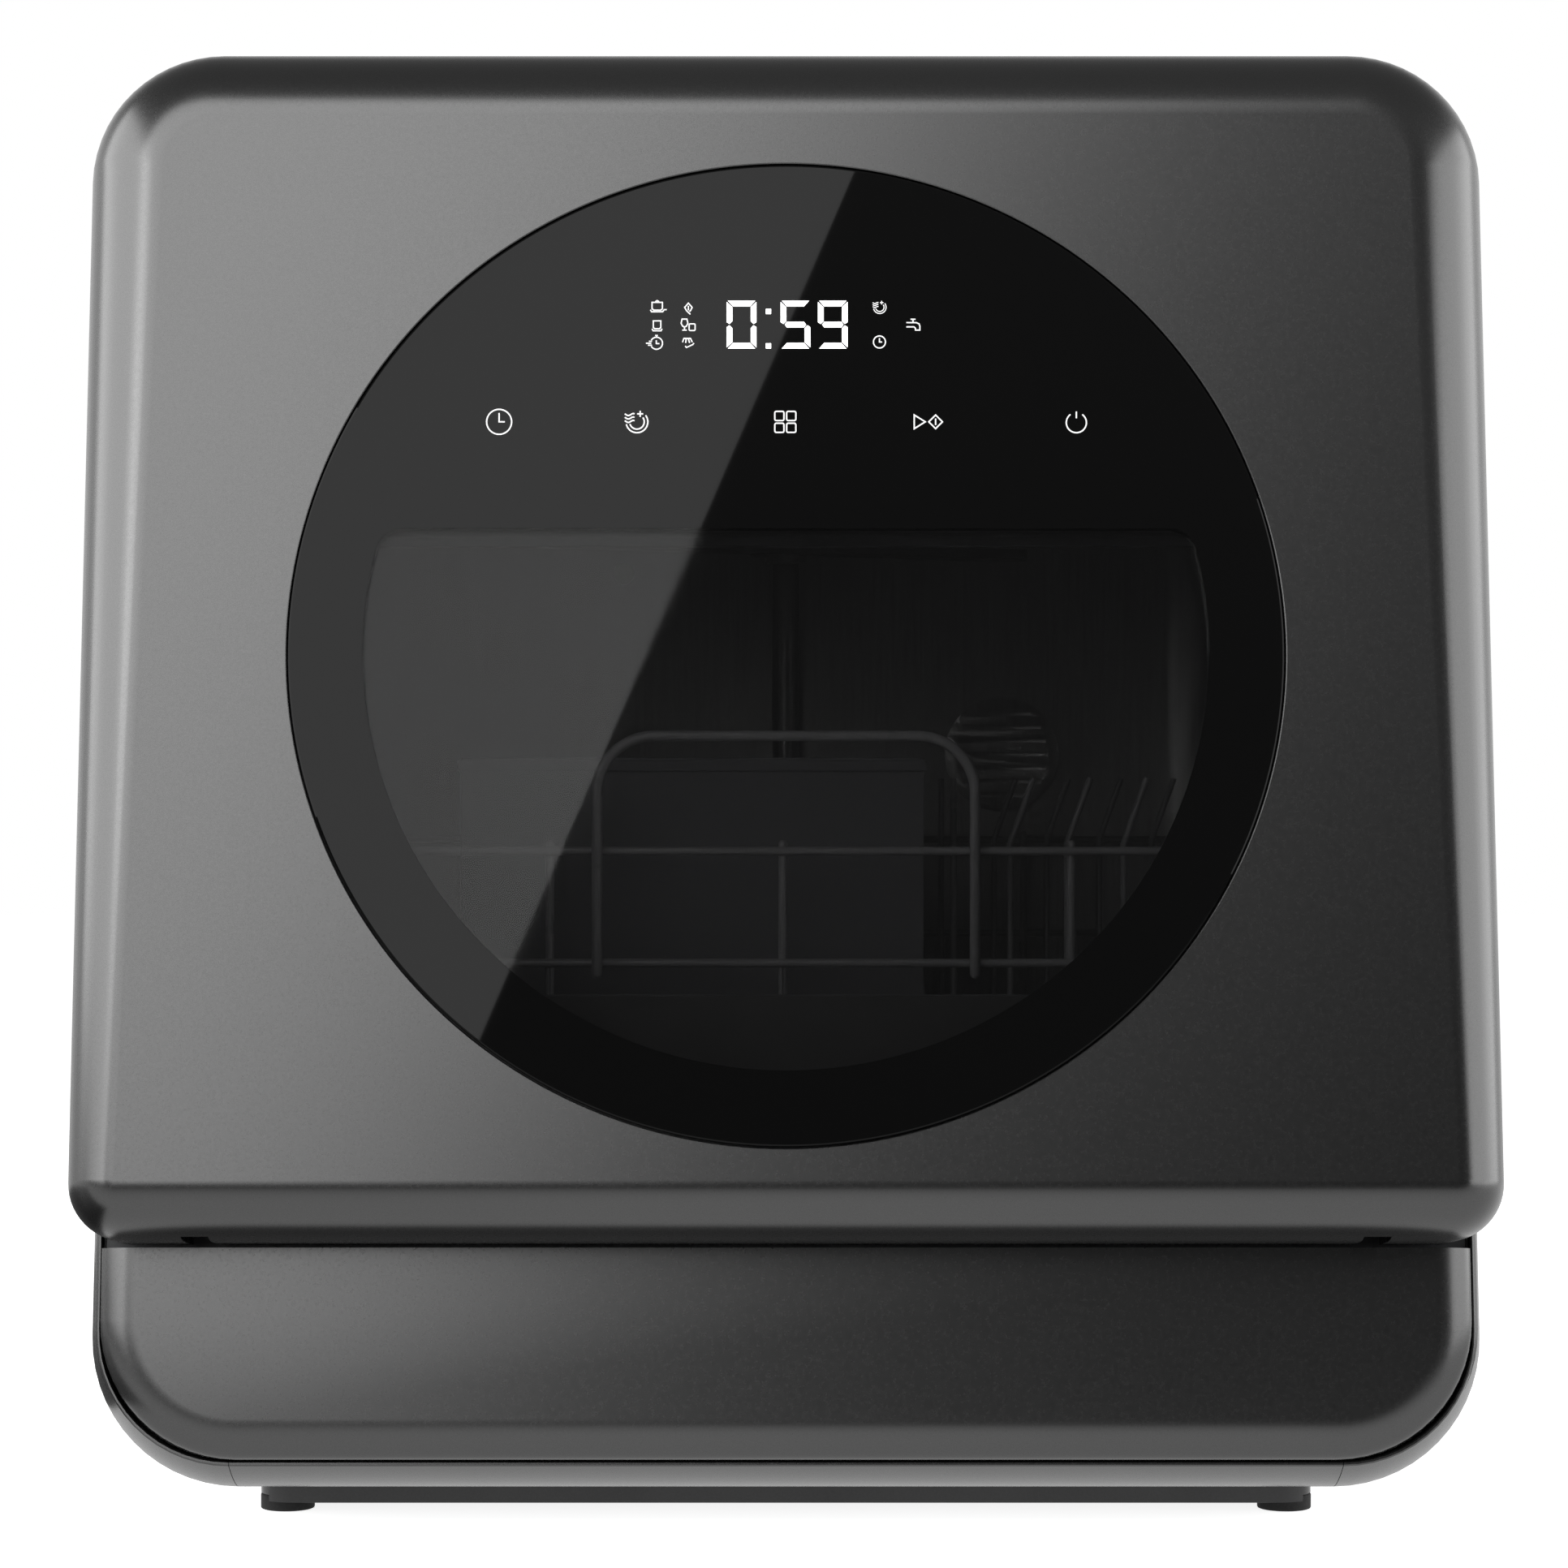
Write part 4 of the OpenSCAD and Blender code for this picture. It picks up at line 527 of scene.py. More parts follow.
def window_outline(grow=0.0):
    """The clear part: a circle cut by a straight top, with rounded corners."""
    r, top, corner = WINDOW_R + grow, WINDOW_TOP + grow - GLASS_UP, WINDOW_CORNER + grow
    cy = top - corner
    cx = math.sqrt((r - corner) ** 2 - cy ** 2)
    lean_angle = math.degrees(math.atan2(cy, cx))
    return (arc(cx, GLASS_UP + cy, corner, 90, lean_angle, 10)
            + arc(0, GLASS_UP, r, lean_angle, -180 - lean_angle, 160)[1:-1]
            + arc(-cx, GLASS_UP + cy, corner, 180 - lean_angle, 90, 10))


def flat_ring(points, back):
    return [leaning(x, back, up) for x, up in points]


bm = bmesh.new()
edge_r = 0.6 * MM
outer, _ = loft(bm, [circle_on_front(GLASS_R - edge_r, GLASS_FRONT), circle_on_front(GLASS_R - 0.3 * edge_r, GLASS_FRONT + 0.3 * edge_r),
                     circle_on_front(GLASS_R, GLASS_FRONT + edge_r), circle_on_front(GLASS_R, GLASS_BACK - edge_r),
                     circle_on_front(GLASS_R - edge_r, GLASS_BACK)])
inner, _ = loft(bm, [flat_ring(window_outline(), GLASS_FRONT), flat_ring(window_outline(), GLASS_BACK)])
fill_between(bm, edges_of(bm, outer[0]) + edges_of(bm, inner[0]), LEAN_BACK)
fill_between(bm, edges_of(bm, outer[-1]) + edges_of(bm, inner[-1]), LEAN_BACK)
glass_ring = finished("glass_ring", bm)
smooth(glass_ring, 15)
dress(glass_ring, black_glass, "door", "black_glass", "door_glass")

bm = bmesh.new()
made, _ = loft(bm, [flat_ring(window_outline(-0.05 * MM), GLASS_FRONT + 0.02 * MM), flat_ring(window_outline(-0.05 * MM), GLASS_BACK)])
bmesh.ops.holes_fill(bm, edges=bm.edges[:], sides=0)
window = finished("clear_window", bm)
smooth(window, 15)
dress(window, window_glass, "door", "clear_glass")
frame["nodes"]["inner_window"].data.materials[0] = pane_glass

# %% [markdown]
# The lit display
# Digits and symbols shine through tiny gaps in the black print. They are thin raised strokes here, a tenth
# of a millimetre proud of the glass, because separate meshes keep their crisp edge at any distance. Each
# stroke is a ribbon: a line that is given width by a mitre at every corner.

# %% Stroke helpers
STROKE_DEPTH = 0.08 * MM


def ribbon(bm, points, width, closed=False):
    """A flat line of even width through points given in leaning across and up metres."""
    count = len(points)
    rows = []
    for i, p in enumerate(points):
        here = Vector(p)
        before = Vector(points[i - 1]) if closed or i else None
        after = Vector(points[(i + 1) % count]) if closed or i < count - 1 else None
        way_in = (here - before).normalized() if before is not None else (after - here).normalized()
        way_out = (after - here).normalized() if after is not None else way_in
        mean = (way_in + way_out).normalized() if (way_in + way_out).length > 1e-6 else way_in
        across = Vector((-mean.y, mean.x))
        reach = width / 2 / max(0.4, across.dot(Vector((-way_in.y, way_in.x))))
        rows.append([bm.verts.new(leaning(q.x, GLASS_FRONT - STROKE_DEPTH, q.y))
                     for q in (here + across * reach, here - across * reach)])
    pairs = list(zip(rows, rows[1:])) + ([(rows[-1], rows[0])] if closed else [])
    for a, b in pairs:
        bm.faces.new((a[0], a[1], b[1], b[0]))


def raised(name, bm, material):
    """Gives the flat strokes their depth and sets them on the door."""
    skin = bmesh.ops.extrude_face_region(bm, geom=bm.faces[:])["geom"]
    bmesh.ops.translate(bm, vec=LEAN_BACK * STROKE_DEPTH * 0.9, verts=[v for v in skin if isinstance(v, bmesh.types.BMVert)])
    piece = finished(name, bm, merge=1e-7)
    return dress(piece, material, "door", "clear_glass")


def draw(bm, centre, strokes, width):
    """Draws strokes about a centre pixel. Each stroke is (points, closed), in pixels with y upwards."""
    here, beside = (Vector(on_glass(centre[0] + step, centre[1], GLASS_FRONT)) for step in (0, 1))
    pixel = (beside - here).length
    for points, closed in strokes:
        ribbon(bm, [on_glass(centre[0] + x, centre[1] - y, GLASS_FRONT) for x, y in points], width * pixel, closed)


def ring(r, start=0, end=360, cx=0, cy=0, steps=40):
    closed = end - start == 360
    points = arc(cx, cy, r, start, end, steps)
    return points[:-1] if closed else points, closed


def soft_square(half_w, half_h, r, cx=0, cy=0):
    corners = [(1, -1, -90), (1, 1, 0), (-1, 1, 90), (-1, -1, 180)]
    return [p for sx, sy, turn in corners
            for p in arc(cx + sx * (half_w - r), cy + sy * (half_h - r), r, turn, turn + 90, 5)], True


def clock(r, hand_up, hand_side):
    return [ring(r), ([(0, hand_up), (0, 0), (hand_side, 0)], False)]


def warm_swirl(size):
    """Three warm waves, a plus and two arcs, the usual sign for extra drying."""
    waves = [([(-15 + 1.5 * i, 8.9 - 4.2 * row + 1.3 * math.sin(i * 0.78 + 2.4)) for i in range(9)], False) for row in range(3)]
    plus = [([(0.3, 9.8), (7.7, 9.8)], False), ([(4, 6.1), (4, 13.5)], False)]
    strokes = waves + plus + [ring(13.4, -167, 37), ring(9, -162, 36)]
    return [([(x * size, y * size) for x, y in points], closed) for points, closed in strokes]


print("stroke helpers ready")

# %% Digits
DIGIT_W, DIGIT_H, SEGMENT = 36.6, 58.9, 7.0
DIGIT_TOP = 370.6
DIGIT_LEFTS = {"0": 895.4, "5": 961.8, "9": 1007.8}
SEGMENTS_OF = {"0": "abcdef", "5": "acdfg", "9": "abcdfg"}


def segment_shape(key):
    """Corners of one segment in pixels from the digit's upper left, with mitred ends."""
    w, h, s, gap = DIGIT_W, DIGIT_H, SEGMENT, 0.8
    top = [(gap + 0.6, 0), (w - gap - 0.6, 0), (w - s - gap, s), (s + gap, s)]
    side = [(0, gap + 0.6), (s, s + gap), (s, h / 2 - s / 2 - gap), (s / 2, h / 2 - gap), (0, h / 2 - s / 2 + 0.5)]
    middle = [(s / 2 + gap + 0.8, h / 2), (s + gap, h / 2 - s / 2), (w - s - gap, h / 2 - s / 2), (w - s / 2 - gap - 0.8, h / 2),
              (w - s - gap, h / 2 + s / 2), (s + gap, h / 2 + s / 2)]
    return {"a": top, "d": [(x, h - y) for x, y in top], "f": side, "b": [(w - x, y) for x, y in side],
            "e": [(x, h - y) for x, y in side], "c": [(w - x, h - y) for x, y in side], "g": middle}[key]


bm = bmesh.new()
for digit, left in DIGIT_LEFTS.items():
    for key in SEGMENTS_OF[digit]:
        corners = [on_glass(left + x, DIGIT_TOP + y, GLASS_FRONT) for x, y in segment_shape(key)]
        bm.faces.new([bm.verts.new(leaning(x, GLASS_FRONT - STROKE_DEPTH, up)) for x, up in corners])
COLON_LEFT, COLON_SIZE = 943.6, 6.5
for top in (380.5, 423.0):
    corners = [on_glass(COLON_LEFT + dx, top + dy, GLASS_FRONT) for dx, dy in ((0, 0), (COLON_SIZE, 0), (COLON_SIZE, COLON_SIZE), (0, COLON_SIZE))]
    bm.faces.new([bm.verts.new(leaning(x, GLASS_FRONT - STROKE_DEPTH, up)) for x, up in corners])
raised("clock_digits", bm, digit_light)

# %% Status symbols
SYMBOL_STROKE = 1.5
POT = (809.8, 378.0)
MUG = (809.6, 401.2)
STOPWATCH = (808.9, 423.0)
LEAF = (848.2, 380.0)
GLASSES = (848.0, 400.0)
SPRAY = (848.2, 422.0)
DRYING = (1084.0, 378.6)
TIMER = (1083.6, 421.4)
TAP = (1125.0, 400.0)

bm = bmesh.new()
draw(bm, POT, [([(-6.4, 5.4), (-6.4, -2.4), (-4.4, -4.2), (4.4, -4.2), (6.4, -2.4), (6.4, 5.4)], True),
               ([(-2.2, 6.2), (0, 7.6), (2.2, 6.2)], False),
               ([(-8.4, -3.8), (-7, -6.2), (6.6, -6.2), (8.6, -3.6), (11.6, -3.6)], False)], SYMBOL_STROKE)
draw(bm, MUG, [([(-4.6, 5.8), (-4.6, -2.4), (-3, -3.9), (3, -3.9), (4.6, -2.4), (4.6, 5.8)], True),
               ([(-6.2, -4), (-4.9, -6.4), (4.9, -6.4), (6.2, -4)], False)], SYMBOL_STROKE)
draw(bm, STOPWATCH, [ring(7.4, -150, 150), ([(-0.2, 3.6), (-0.2, -0.4), (3.6, -0.4)], False),
                     ([(-1.6, 9.6), (1.6, 9.6)], False), ([(0, 9.6), (0, 7.4)], False),
                     ([(-9.4, 2.4), (-5.6, 2.4)], False), ([(-13, 0), (-6.4, 0)], False),
                     ([(-10.6, -2.4), (-5.6, -2.4)], False)], SYMBOL_STROKE)
draw(bm, LEAF, [([(2.4, -7.4), (-2.2, -3), (-4.6, 1.2), (0, 6.4), (4.6, 1.2), (2.6, -2.8), (1.2, -3.8)], False),
                ([(0, 3), (0, -2.4)], False)], SYMBOL_STROKE)
draw(bm, GLASSES, [([(-7.6, 6.8), (-1.6, 6.8), (-0.4, 1.6), (-2.2, -2), (-4.6, -3), (-6.8, -2), (-8.8, 1.6)], True),
                   ([(-4.6, -3), (-4.6, -6.6)], False), ([(-7.4, -6.8), (-1.8, -6.8)], False),
                   soft_square(3.7, 4.1, 1.4, 4.8, -3.2)], SYMBOL_STROKE)
draw(bm, SPRAY, [([(-6, 5), (3.2, 5)], False), ([(-5.6, 5), (-7.2, 0.2)], False), ([(-2.6, 5), (-3.4, -0.6)], False),
                 ([(0, 5), (1.4, -0.6)], False), ([(2.6, 5), (4.8, 0.4)], False),
                 ([(-3.8, -4.4), (-2.4, -6.2), (5.4, -2.6), (6.8, -0.8)], False)], SYMBOL_STROKE)
draw(bm, DRYING, warm_swirl(0.58), 1.1)
draw(bm, TIMER, clock(7.4, 4.6, 3.2), SYMBOL_STROKE)
draw(bm, TAP, [([(-3, 6.6), (3, 6.6)], False), ([(0, 6.6), (0, 2.6)], False),
               ([(-8.2, 2.4), (4, 2.4), (7.4, 1), (8.4, -2), (8.4, -6.8), (3, -6.8), (3, -4.4), (1, -2.8), (-8.2, -2.8)], False)],
     SYMBOL_STROKE)
raised("status_symbols", bm, symbol_light)

# %% Touch symbols
KEY_STROKE = 1.7
CLOCK_KEY = (615.0, 519.8)
DRYING_KEY = (784.8, 519.8)
PROGRAMME_KEY = (967.6, 519.9)
START_KEY = (1144.5, 519.8)
POWER_KEY = (1326.2, 520.8)
TILE_PITCH = 14.6
TILE_HALF = 5.65

bm = bmesh.new()
draw(bm, CLOCK_KEY, clock(15.4, 10.8, 7), KEY_STROKE)
draw(bm, DRYING_KEY, warm_swirl(1), KEY_STROKE)
draw(bm, PROGRAMME_KEY, [soft_square(TILE_HALF, TILE_HALF, 2, x * TILE_PITCH / 2, y * TILE_PITCH / 2)
                         for x in (-1, 1) for y in (-1, 1)], KEY_STROKE)
draw(bm, START_KEY, [([(-18, 8.4), (-18, -8.4), (-4.4, 0)], True), ([(8.3, 8.4), (16.7, 0), (8.3, -8.4), (-0.1, 0)], True),
                     ([(8.3, 4), (8.3, -4)], False)], KEY_STROKE)
draw(bm, POWER_KEY, [ring(12.4, 126, 414), ([(0, 13.6), (0, 5.4)], False)], KEY_STROKE)
raised("touch_symbols", bm, symbol_light)

# %% [markdown]
# The lower panel
# Below the door sits a fixed panel that closes the front. It lies deeper than the door, with large lower
# corners and a soft roll towards a narrow shadow gap. It is lofted like the door, only shallower.

# %% Lower panel
PANEL_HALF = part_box("lower_front_panel")[1].x
PANEL_LOW = up_at(23.7 * MM, 26 * MM)
PANEL_R = 41 * MM
PANEL_RIM = 22 * MM
PANEL_FACE = 15 * MM
PANEL_ROUND = 12 * MM
PANEL_TOP = -1 * MM

bm = bmesh.new()
rings = []
over_top = PANEL_TOP + PANEL_R
for inset, back in [(0, 25.8 * MM), (0, PANEL_RIM)]:
    rings.append(flat_ring(rounded(PANEL_HALF - inset, PANEL_LOW + inset, over_top, PANEL_R - inset, PANEL_ROUND), back))
for i in range(1, 13):
    turn = math.radians(90 * i / 12)
    inset = PANEL_ROUND * (1 - math.cos(turn))
    back = PANEL_RIM - (PANEL_RIM - PANEL_FACE) * math.sin(turn)
    rings.append(flat_ring(rounded(PANEL_HALF - inset, PANEL_LOW + inset, over_top, PANEL_R - inset, PANEL_ROUND), back))
made, last = loft(bm, rings)
bmesh.ops.contextual_create(bm, geom=last)
cut_at = leaning(0, 0, PANEL_TOP)
bmesh.ops.bisect_plane(bm, geom=bm.verts[:] + bm.edges[:] + bm.faces[:], plane_co=cut_at, plane_no=LEAN_UP, clear_outer=True)
lower_panel = finished("lower_panel", bm)
walled(lower_panel, 2.4 * MM)
applied(lower_panel)
dress(lower_panel, paint, "body", "painted_casing", "lower_front_panel")

# %% [markdown]
# The casing and its floor
# The casing is a wide tunnel: it swells from the front rim to its full width, runs straight back and turns
# in at the rear. Its floor is a separate pan with a fine joint on either side. Both come from one set of
# rings, so that their faces line up across the joint.

# %% Casing
BODY_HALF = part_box("outer_housing")[1].x
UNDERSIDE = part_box("outer_housing")[0].z
HOUSING_TOP = 441 * MM
CASING_LOW_R = 45 * MM
CASING_TOP_R = 40 * MM
RIM_BACK = 24 * MM
FLARE = 28 * MM
RIM_SIDE = 5 * MM
MOUTH_LIP = 1.2 * MM
REAR_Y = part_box("rear_cover")[1].y
REAR_ROUND = 11 * MM
REAR_INSET = 8 * MM
CASING_WALL = 2.5 * MM
rim_low = PANEL_LOW - 0.3 * MM - 1.6 * MM - up_at(UNDERSIDE, RIM_BACK)


def leaning_ring(back, side, low):
    return flat_ring(rounded(BODY_HALF - side, up_at(UNDERSIDE, back) + low, up_at(HOUSING_TOP, back) - side,
                             CASING_LOW_R - side, CASING_TOP_R - side), back)


def upright_ring(y, inset):
    return [Vector((x, y, z)) for x, z in rounded(BODY_HALF - inset, UNDERSIDE + inset, HOUSING_TOP - inset,
                                                 CASING_LOW_R - inset, CASING_TOP_R - inset)]


def casing_rings():
    rings = [leaning_ring(RIM_BACK + 0.6 * MM, RIM_SIDE + MOUTH_LIP, rim_low + 1.6 * MM),
             leaning_ring(RIM_BACK, RIM_SIDE + 0.7 * MOUTH_LIP, rim_low + 1.1 * MM),
             leaning_ring(RIM_BACK, RIM_SIDE + 0.35 * MOUTH_LIP, rim_low + 0.5 * MM)]
    for i in range(13):
        share = i / 12
        fall = (1 - share) ** 1.5
        rings.append(leaning_ring(RIM_BACK + 0.3 * MM + share * (FLARE - 0.3 * MM), fall * RIM_SIDE, fall * rim_low))
    rings.append(upright_ring(REAR_Y - REAR_ROUND, 0))
    for i in range(1, 9):
        turn = math.radians(90 * i / 8)
        rings.append(upright_ring(REAR_Y - REAR_ROUND + REAR_ROUND * math.sin(turn), REAR_INSET * (1 - math.cos(turn))))
    return rings


bm = bmesh.new()
made, _ = loft(bm, casing_rings())
pan_half = BODY_HALF - CASING_LOW_R
floor_faces = [f for f in bm.faces if f.calc_center_median().z < 30 * MM
               and all(abs(v.co.x) < pan_half + 0.3 * MM + 6 * MM for v in f.verts)
               and min(v.co.x for v in f.verts) < 0 < max(v.co.x for v in f.verts)]
bmesh.ops.delete(bm, geom=floor_faces, context="FACES")
casing = walled(finished("casing", bm), CASING_WALL)
FILL_AT = (80 * MM, 60 * MM)
filler_hole = rod("hole", (*FILL_AT, HOUSING_TOP - 12 * MM), (*FILL_AT, HOUSING_TOP + 12 * MM), 30.6 * MM, 96)
cut(casing, filler_hole)
dress(casing, paint, "body", "painted_casing", "outer_housing")

# %% Floor pan
bm = bmesh.new()
profile = [ring[0] for ring in casing_rings()]
rows = [[Vector((side * (pan_half - 0.2 * MM), p.y, p.z)) for p in profile] for side in (-1, 1)]
made, _ = loft(bm, rows, closed=False)
pan = walled(finished("floor_pan", bm), CASING_WALL)
vents = [block("vent", (i * 14 * MM - 3 * MM, 60 * MM, 0), (i * 14 * MM + 3 * MM, 84 * MM, 30 * MM)) for i in range(-3, 4)]
cut(pan, *vents)
dress(pan, paint, "body", "painted_casing", "base_pan")

# %% Posts on the pan
PAN_TOP = UNDERSIDE + CASING_WALL
POSTS_FROM = -150 * MM
bm = bmesh.new()
bm.from_mesh(frame["nodes"]["base_pan"].data)
bmesh.ops.remove_doubles(bm, verts=bm.verts[:], dist=0.002 * MM)
for place, facing in (((0, 0, PAN_TOP + 0.02 * MM), (0, 0, -1)), ((0, POSTS_FROM, 0), (0, -1, 0))):
    bmesh.ops.bisect_plane(bm, geom=bm.verts[:] + bm.edges[:] + bm.faces[:], plane_co=place, plane_no=facing, clear_outer=True)
bmesh.ops.holes_fill(bm, edges=[e for e in bm.edges if e.is_boundary], sides=0)
bmesh.ops.dissolve_limit(bm, angle_limit=math.radians(1), verts=bm.verts[:], edges=bm.edges[:])
posts = softened(finished("pan_posts", bm, turn_out=False), 0.5 * MM)
applied(posts)
dress(posts, paint, "body", "painted_casing")

# %% [markdown]
# Edges for the working parts
# Mouldings and pressings never end in a knife edge. Every other node is copied, its loose triangles are
# merged into clean faces, and its sharp edges get the small round that a tool would leave. The round is
# wider on plastic than on sheet metal, and wires and hoses are only shaded smooth.

# %% Softened parts
BODY_OF = {node: body for body, nodes in frame["record"]["behaviour"]["bodies"].items() for node in nodes}
SLOT_OF = {row["node"]: row["material_slot"] for row in frame["record"]["subparts"]}
EDGE_MM = {
    0.8: ["water_tank", "plinth", "cutlery_basket", "inlet_valve", "flow_heater"],
    0.5: ["foot_pads", "rear_cover", "window_shroud", "hinge_blocks", "sump", "fine_filter", "wash_pump",
          "lower_spray_arm", "upper_spray_arm", "drain_pump", "transfer_valve", "fan_housing", "mains_gland",
          "latch_housing", "detergent_cup", "drain_spigot", "fill_lid", "fill_funnel", "door_gasket"],
    0.3: ["glass_carrier", "window_seal", "door_liner", "door_strike", "hinge_brackets", "front_frame", "rack_rails",
          "wheel_front_left", "wheel_front_right", "wheel_rear_left", "wheel_rear_right", "detergent_lid", "inner_window"],
    0.15: ["tub", "rear_screws", "hinge_pins", "coarse_filter", "wash_impeller", "fan_rotor", "power_board",
           "display_board"],
    0.0: ["pump_hoses", "riser_pipe", "drain_hose", "inlet_hose", "fill_lid_pin", "rack_floor", "rack_walls",
          "rack_handle", "plate_tines", "spray_duct"],
}


SHARP_ABOVE = 20
SHARP_ON_FLATS = math.radians(7)
FLAT_AREA = 80 * MM * MM
FLAT_TO_STRIP = 8


def flats_kept(piece):
    """Ends the smooth shading where a large flat face meets a narrow strip, so that the face stays even."""
    bm = bmesh.new()
    bm.from_mesh(piece.data)
    for edge in bm.edges:
        if edge.is_manifold and edge.calc_face_angle() > SHARP_ON_FLATS:
            strip, flat = sorted(face.calc_area() for face in edge.link_faces)
            if flat > max(FLAT_AREA, FLAT_TO_STRIP * strip):
                edge.smooth = False
    bm.to_mesh(piece.data)
    bm.free()


def softened_copy(node, width):
    """A clean copy of a node with its sharp edges rounded, standing in for the node."""
    bm = bmesh.new()
    bm.from_mesh(frame["nodes"][node].data)
    bmesh.ops.remove_doubles(bm, verts=bm.verts[:], dist=0.002 * MM)
    bmesh.ops.dissolve_limit(bm, angle_limit=math.radians(1), verts=bm.verts[:], edges=bm.edges[:])
    piece = finished(node + "_part", bm, turn_out=False)
    if width:
        softened(piece, width)
    applied(piece, SHARP_ABOVE)
    flats_kept(piece)
    return dress(piece, frame["nodes"][node].data.materials[0], BODY_OF[node], SLOT_OF[node], node)


copies = {node: softened_copy(node, width * MM) for width, nodes in EDGE_MM.items() for node in nodes}
print(len(copies), "softened parts")

# %% [markdown]
# Small fittings
# A pressed louvre covers the dryer's air inlet in the tub's rear wall, the water inlet gets its thread and
# the drain spigot its barbs. The last two are cut into the softened parts as rows of grooves, because a cut
# groove keeps the outer size that the mating hose or nut needs.

# %% Vent louvre
FAN_AT = (80 * MM, 235 * MM)
VENT_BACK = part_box("tub")[1].y - 1.9 * MM
VENT_R = 21 * MM
vent = rod("vent_louvre", (FAN_AT[0], VENT_BACK, FAN_AT[1]), (FAN_AT[0], VENT_BACK - 3 * MM, FAN_AT[1]), VENT_R, 96)
slits = []
for i in range(-3, 4):
    half = math.sqrt(VENT_R ** 2 - (i * 5 * MM) ** 2) - 4 * MM
    z = FAN_AT[1] + i * 5 * MM
    slits.append(block("slit", (FAN_AT[0] - half, VENT_BACK - 5 * MM, z - 0.9 * MM), (FAN_AT[0] + half, VENT_BACK - 1.2 * MM, z + 0.9 * MM)))
cut(vent, *slits)
softened(vent, 0.35 * MM)
applied(vent)
dress(vent, tub_steel, "body", "stainless_tub")

# %% Thread and barbs


def grooves(piece, x, z, r, depth, places):
    """Cuts V-shaped grooves round a fitting that points back."""
    rings = []
    for y in places:
        bm = bmesh.new()
        half = depth * 0.9
        section = [(r - depth, y), (r + depth, y + 2 * half), (r + depth, y - 2 * half)]
        turns = [[Vector((x + radius * math.cos(a), at, z + radius * math.sin(a)))
                  for a in (math.tau * i / 96 for i in range(96))] for radius, at in section]
        loft(bm, turns + turns[:1])
        rings.append(finished("groove", bm))
    cut(piece, *rings)


INLET_AT = (140 * MM, 62 * MM, 13.2 * MM)
SPIGOT_AT = (-140 * MM, 96 * MM, 9.5 * MM)
FITTING_FROM = REAR_Y + 2 * MM
grooves(copies["inlet_valve"], *INLET_AT, 0.8 * MM, [FITTING_FROM + i * 1.8 * MM for i in range(6)])
grooves(copies["drain_spigot"], *SPIGOT_AT, 0.7 * MM, [FITTING_FROM + 1 * MM + i * 2.8 * MM for i in range(4)])
print("thread and barbs cut")

# %% [markdown]
# Stage and light
# The background is plain white and the floor keeps the object's shadow. One big softbox from the left front gives the
# fade across the door, and its slanting edge is what the round glass mirrors as a slanting pane of light. A second
# softbox on the left and one on the right draw the bright edges.

# %% Stage and light


def white_for_the_eye(name, colour, share):
    """Diffuse stage that shows white to the camera and keeps its shadows. In mirrors and through glass its glow fades
    out in front of the object, and in mirrors its colour drops to 12 percent: a painted dark reflection on the object's
    lower front.
    """
    material = bpy.data.materials.new(name)
    material.use_nodes = True
    tree = material.node_tree
    tree.nodes.clear()
    out = tree.nodes.new("ShaderNodeOutputMaterial")
    matt = tree.nodes.new("ShaderNodeBsdfDiffuse")
    glow = tree.nodes.new("ShaderNodeEmission")
    seen = tree.nodes.new("ShaderNodeLightPath")
    place = tree.nodes.new("ShaderNodeTexCoord")
    split = tree.nodes.new("ShaderNodeSeparateXYZ")
    tree.links.new(place.outputs["Object"], split.inputs["Vector"])
    # Painted dark reflection: in mirrors and through glass the floor's glow fades out in front of the object.
    behind = tree.nodes.new("ShaderNodeMapRange")
    for socket, number in (("From Min", -1.2), ("From Max", -0.3), ("To Min", 0), ("To Max", share)):
        behind.inputs[socket].default_value = number
    tree.links.new(split.outputs["Y"], behind.inputs["Value"])
    # Painted dark reflection: in mirrors the floor's colour drops to 12 percent.
    painted_mirror_shade = tree.nodes.new("ShaderNodeMix")
    painted_mirror_shade.data_type = "RGBA"
    painted_mirror_shade.inputs["A"].default_value = (*shade(colour), 1)
    painted_mirror_shade.inputs["B"].default_value = (*shade(colour, 0.12), 1)
    tree.links.new(seen.outputs["Is Glossy Ray"], painted_mirror_shade.inputs["Factor"])
    tree.links.new(painted_mirror_shade.outputs["Result"], matt.inputs["Color"])
    level = 0.0
    for flag, value in (("Is Glossy Ray", behind.outputs["Result"]), ("Is Transmission Ray", behind.outputs["Result"]),
                        ("Is Camera Ray", share)):
        switch = tree.nodes.new("ShaderNodeMix")
        tree.links.new(seen.outputs[flag], switch.inputs["Factor"])
        for socket, number in (("A", level), ("B", value)):
            if isinstance(number, float):
                switch.inputs[socket].default_value = number
            else:
                tree.links.new(number, switch.inputs[socket])
        level = switch.outputs["Result"]
    tree.links.new(level, glow.inputs["Strength"])
    both = tree.nodes.new("ShaderNodeAddShader")
    tree.links.new(matt.outputs[0], both.inputs[0])
    tree.links.new(glow.outputs[0], both.inputs[1])
    tree.links.new(both.outputs[0], out.inputs["Surface"])
    return material


def plane(name, centre, width, depth, upright=False):
    bm = bmesh.new()
    bmesh.ops.create_grid(bm, x_segments=1, y_segments=1, size=0.5)
    bmesh.ops.scale(bm, vec=(width, depth, 1), verts=bm.verts[:])
    if upright:
        bmesh.ops.rotate(bm, matrix=Matrix.Rotation(math.radians(90), 3, "X"), verts=bm.verts[:])
    bmesh.ops.translate(bm, vec=centre, verts=bm.verts[:])
    piece = finished(name, bm)
    return piece


floor = plane("floor", (0, 0, 0), 12, 12)
floor.data.materials.append(white_for_the_eye("pale_floor", 0.8, 0.85))

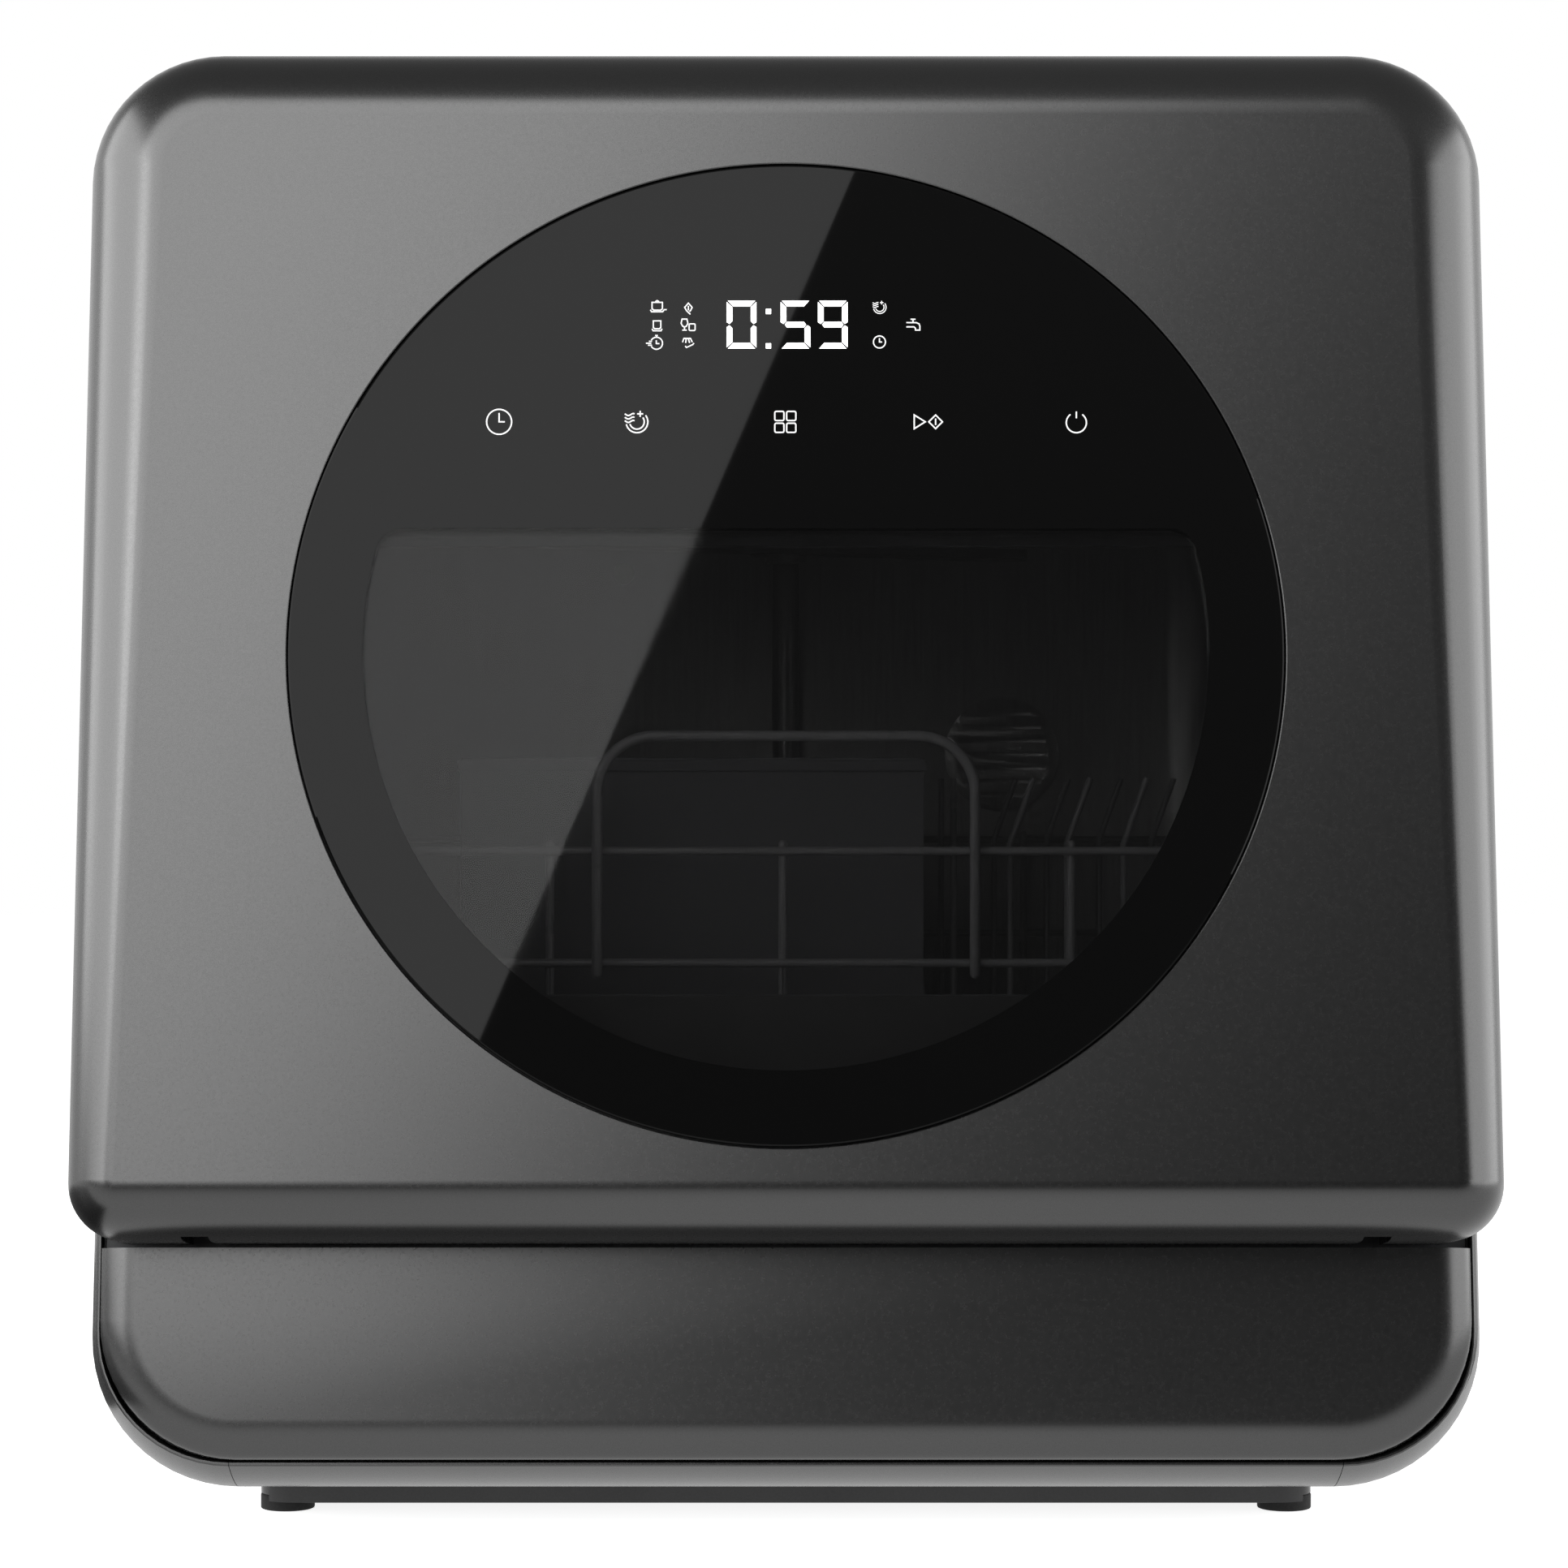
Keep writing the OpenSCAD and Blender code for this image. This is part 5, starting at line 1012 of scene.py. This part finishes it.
# A black sheet on the floor at the left, seen only in mirrors and through glass and casting no shadow: a painted dark
# reflection on the object's lower left.
flag = plane("black_flag", (-0.6, 0.15, 0.003), 0.7, 0.8)
flag.data.materials.append(black_plastic)
flag.visible_camera = False
flag.visible_diffuse = False
flag.visible_shadow = False

world = bpy.data.worlds.new("studio")
bpy.context.scene.world = world
world.use_nodes = True
tree = world.node_tree
AMBIENT = 0.2
MIRRORED = 0.03
MIRRORED_ABOVE = 0.25
background = tree.nodes["Background"]
seen = tree.nodes.new("ShaderNodeLightPath")
direction = tree.nodes.new("ShaderNodeTexCoord")
parts = tree.nodes.new("ShaderNodeSeparateXYZ")
tree.links.new(direction.outputs["Generated"], parts.inputs["Vector"])


def ramp_of(value, start, end, low, high):
    """A number that eases from low to high as the value goes from start to end."""
    span = tree.nodes.new("ShaderNodeMapRange")
    span.interpolation_type = "SMOOTHSTEP"
    for name, number in (("From Min", start), ("From Max", end), ("To Min", low), ("To Max", high)):
        span.inputs[name].default_value = number
    tree.links.new(value, span.inputs["Value"])
    return span.outputs["Result"]


def pick(chooser, plain, chosen):
    """One number or another by a light path's flag."""
    switch = tree.nodes.new("ShaderNodeMix")
    for socket, value in (("Factor", chooser), ("A", plain), ("B", chosen)):
        if isinstance(value, (int, float)):
            switch.inputs[socket].default_value = value
        else:
            tree.links.new(value, switch.inputs[socket])
    return switch.outputs["Result"]


behind = ramp_of(parts.outputs["Y"], -0.1, 0.3, 0.0, 1.0)
low_down = ramp_of(parts.outputs["Z"], 0.25, 0.7, 1.0, 0.0)
both = tree.nodes.new("ShaderNodeMath")
both.operation = "MULTIPLY"
tree.links.new(behind, both.inputs[0])
tree.links.new(low_down, both.inputs[1])
overhead = ramp_of(parts.outputs["Z"], 0.1, 0.6, MIRRORED, MIRRORED_ABOVE)
mirrored = pick(both.outputs[0], overhead, 1.0)
brightness = pick(seen.outputs["Is Glossy Ray"], AMBIENT, mirrored)
brightness = pick(seen.outputs["Is Transmission Ray"], brightness, mirrored)
brightness = pick(seen.outputs["Is Camera Ray"], brightness, 1.0)
background.inputs["Color"].default_value = (1, 1, 1, 1)
tree.links.new(brightness, background.inputs["Strength"])


def softbox(name, place, target, width, height, radiance, roll=0.0):
    """A rectangular lamp of even radiance that faces a target point."""
    data = bpy.data.lights.new(name, "AREA")
    data.shape = "RECTANGLE"
    data.size = width
    data.size_y = height
    data.energy = radiance * math.pi * width * height
    lamp = bpy.data.objects.new(name, data)
    bpy.context.scene.collection.objects.link(lamp)
    lamp.location = place
    aim = (Vector(target) - Vector(place)).to_track_quat("-Z", "Y")
    lamp.rotation_euler = (aim.to_matrix() @ Matrix.Rotation(roll, 3, "Z")).to_euler()
    lamp.visible_camera = False
    return lamp


KEY_EDGE_AT = Vector((-0.0925, -2.6, 1.15))
KEY_SLOPE = math.radians(21.8)
KEY_W, KEY_UP, KEY_DOWN = 2.5, 1.5, 1.0
key_across = Vector((math.cos(KEY_SLOPE), 0, -math.sin(KEY_SLOPE)))
key_upwards = Vector((math.sin(KEY_SLOPE), 0, math.cos(KEY_SLOPE)))
key_at = KEY_EDGE_AT - KEY_W / 2 * key_across + (KEY_UP - KEY_DOWN) / 2 * key_upwards
softbox("key_softbox", key_at, key_at + Vector((0, 1, 0)), KEY_W, KEY_UP + KEY_DOWN, 2.85, roll=-KEY_SLOPE)
softbox("left_softbox", (-1.5, -1.0, 0.82), (0, -1.0, 0.3), 3.0, 1.3, 3.3)
softbox("right_softbox", (1.5, -0.5, 0.55), (0, -0.5, 0.25), 2.5, 1.2, 2.4)

scene = bpy.context.scene
scene.view_settings.view_transform = "Standard"
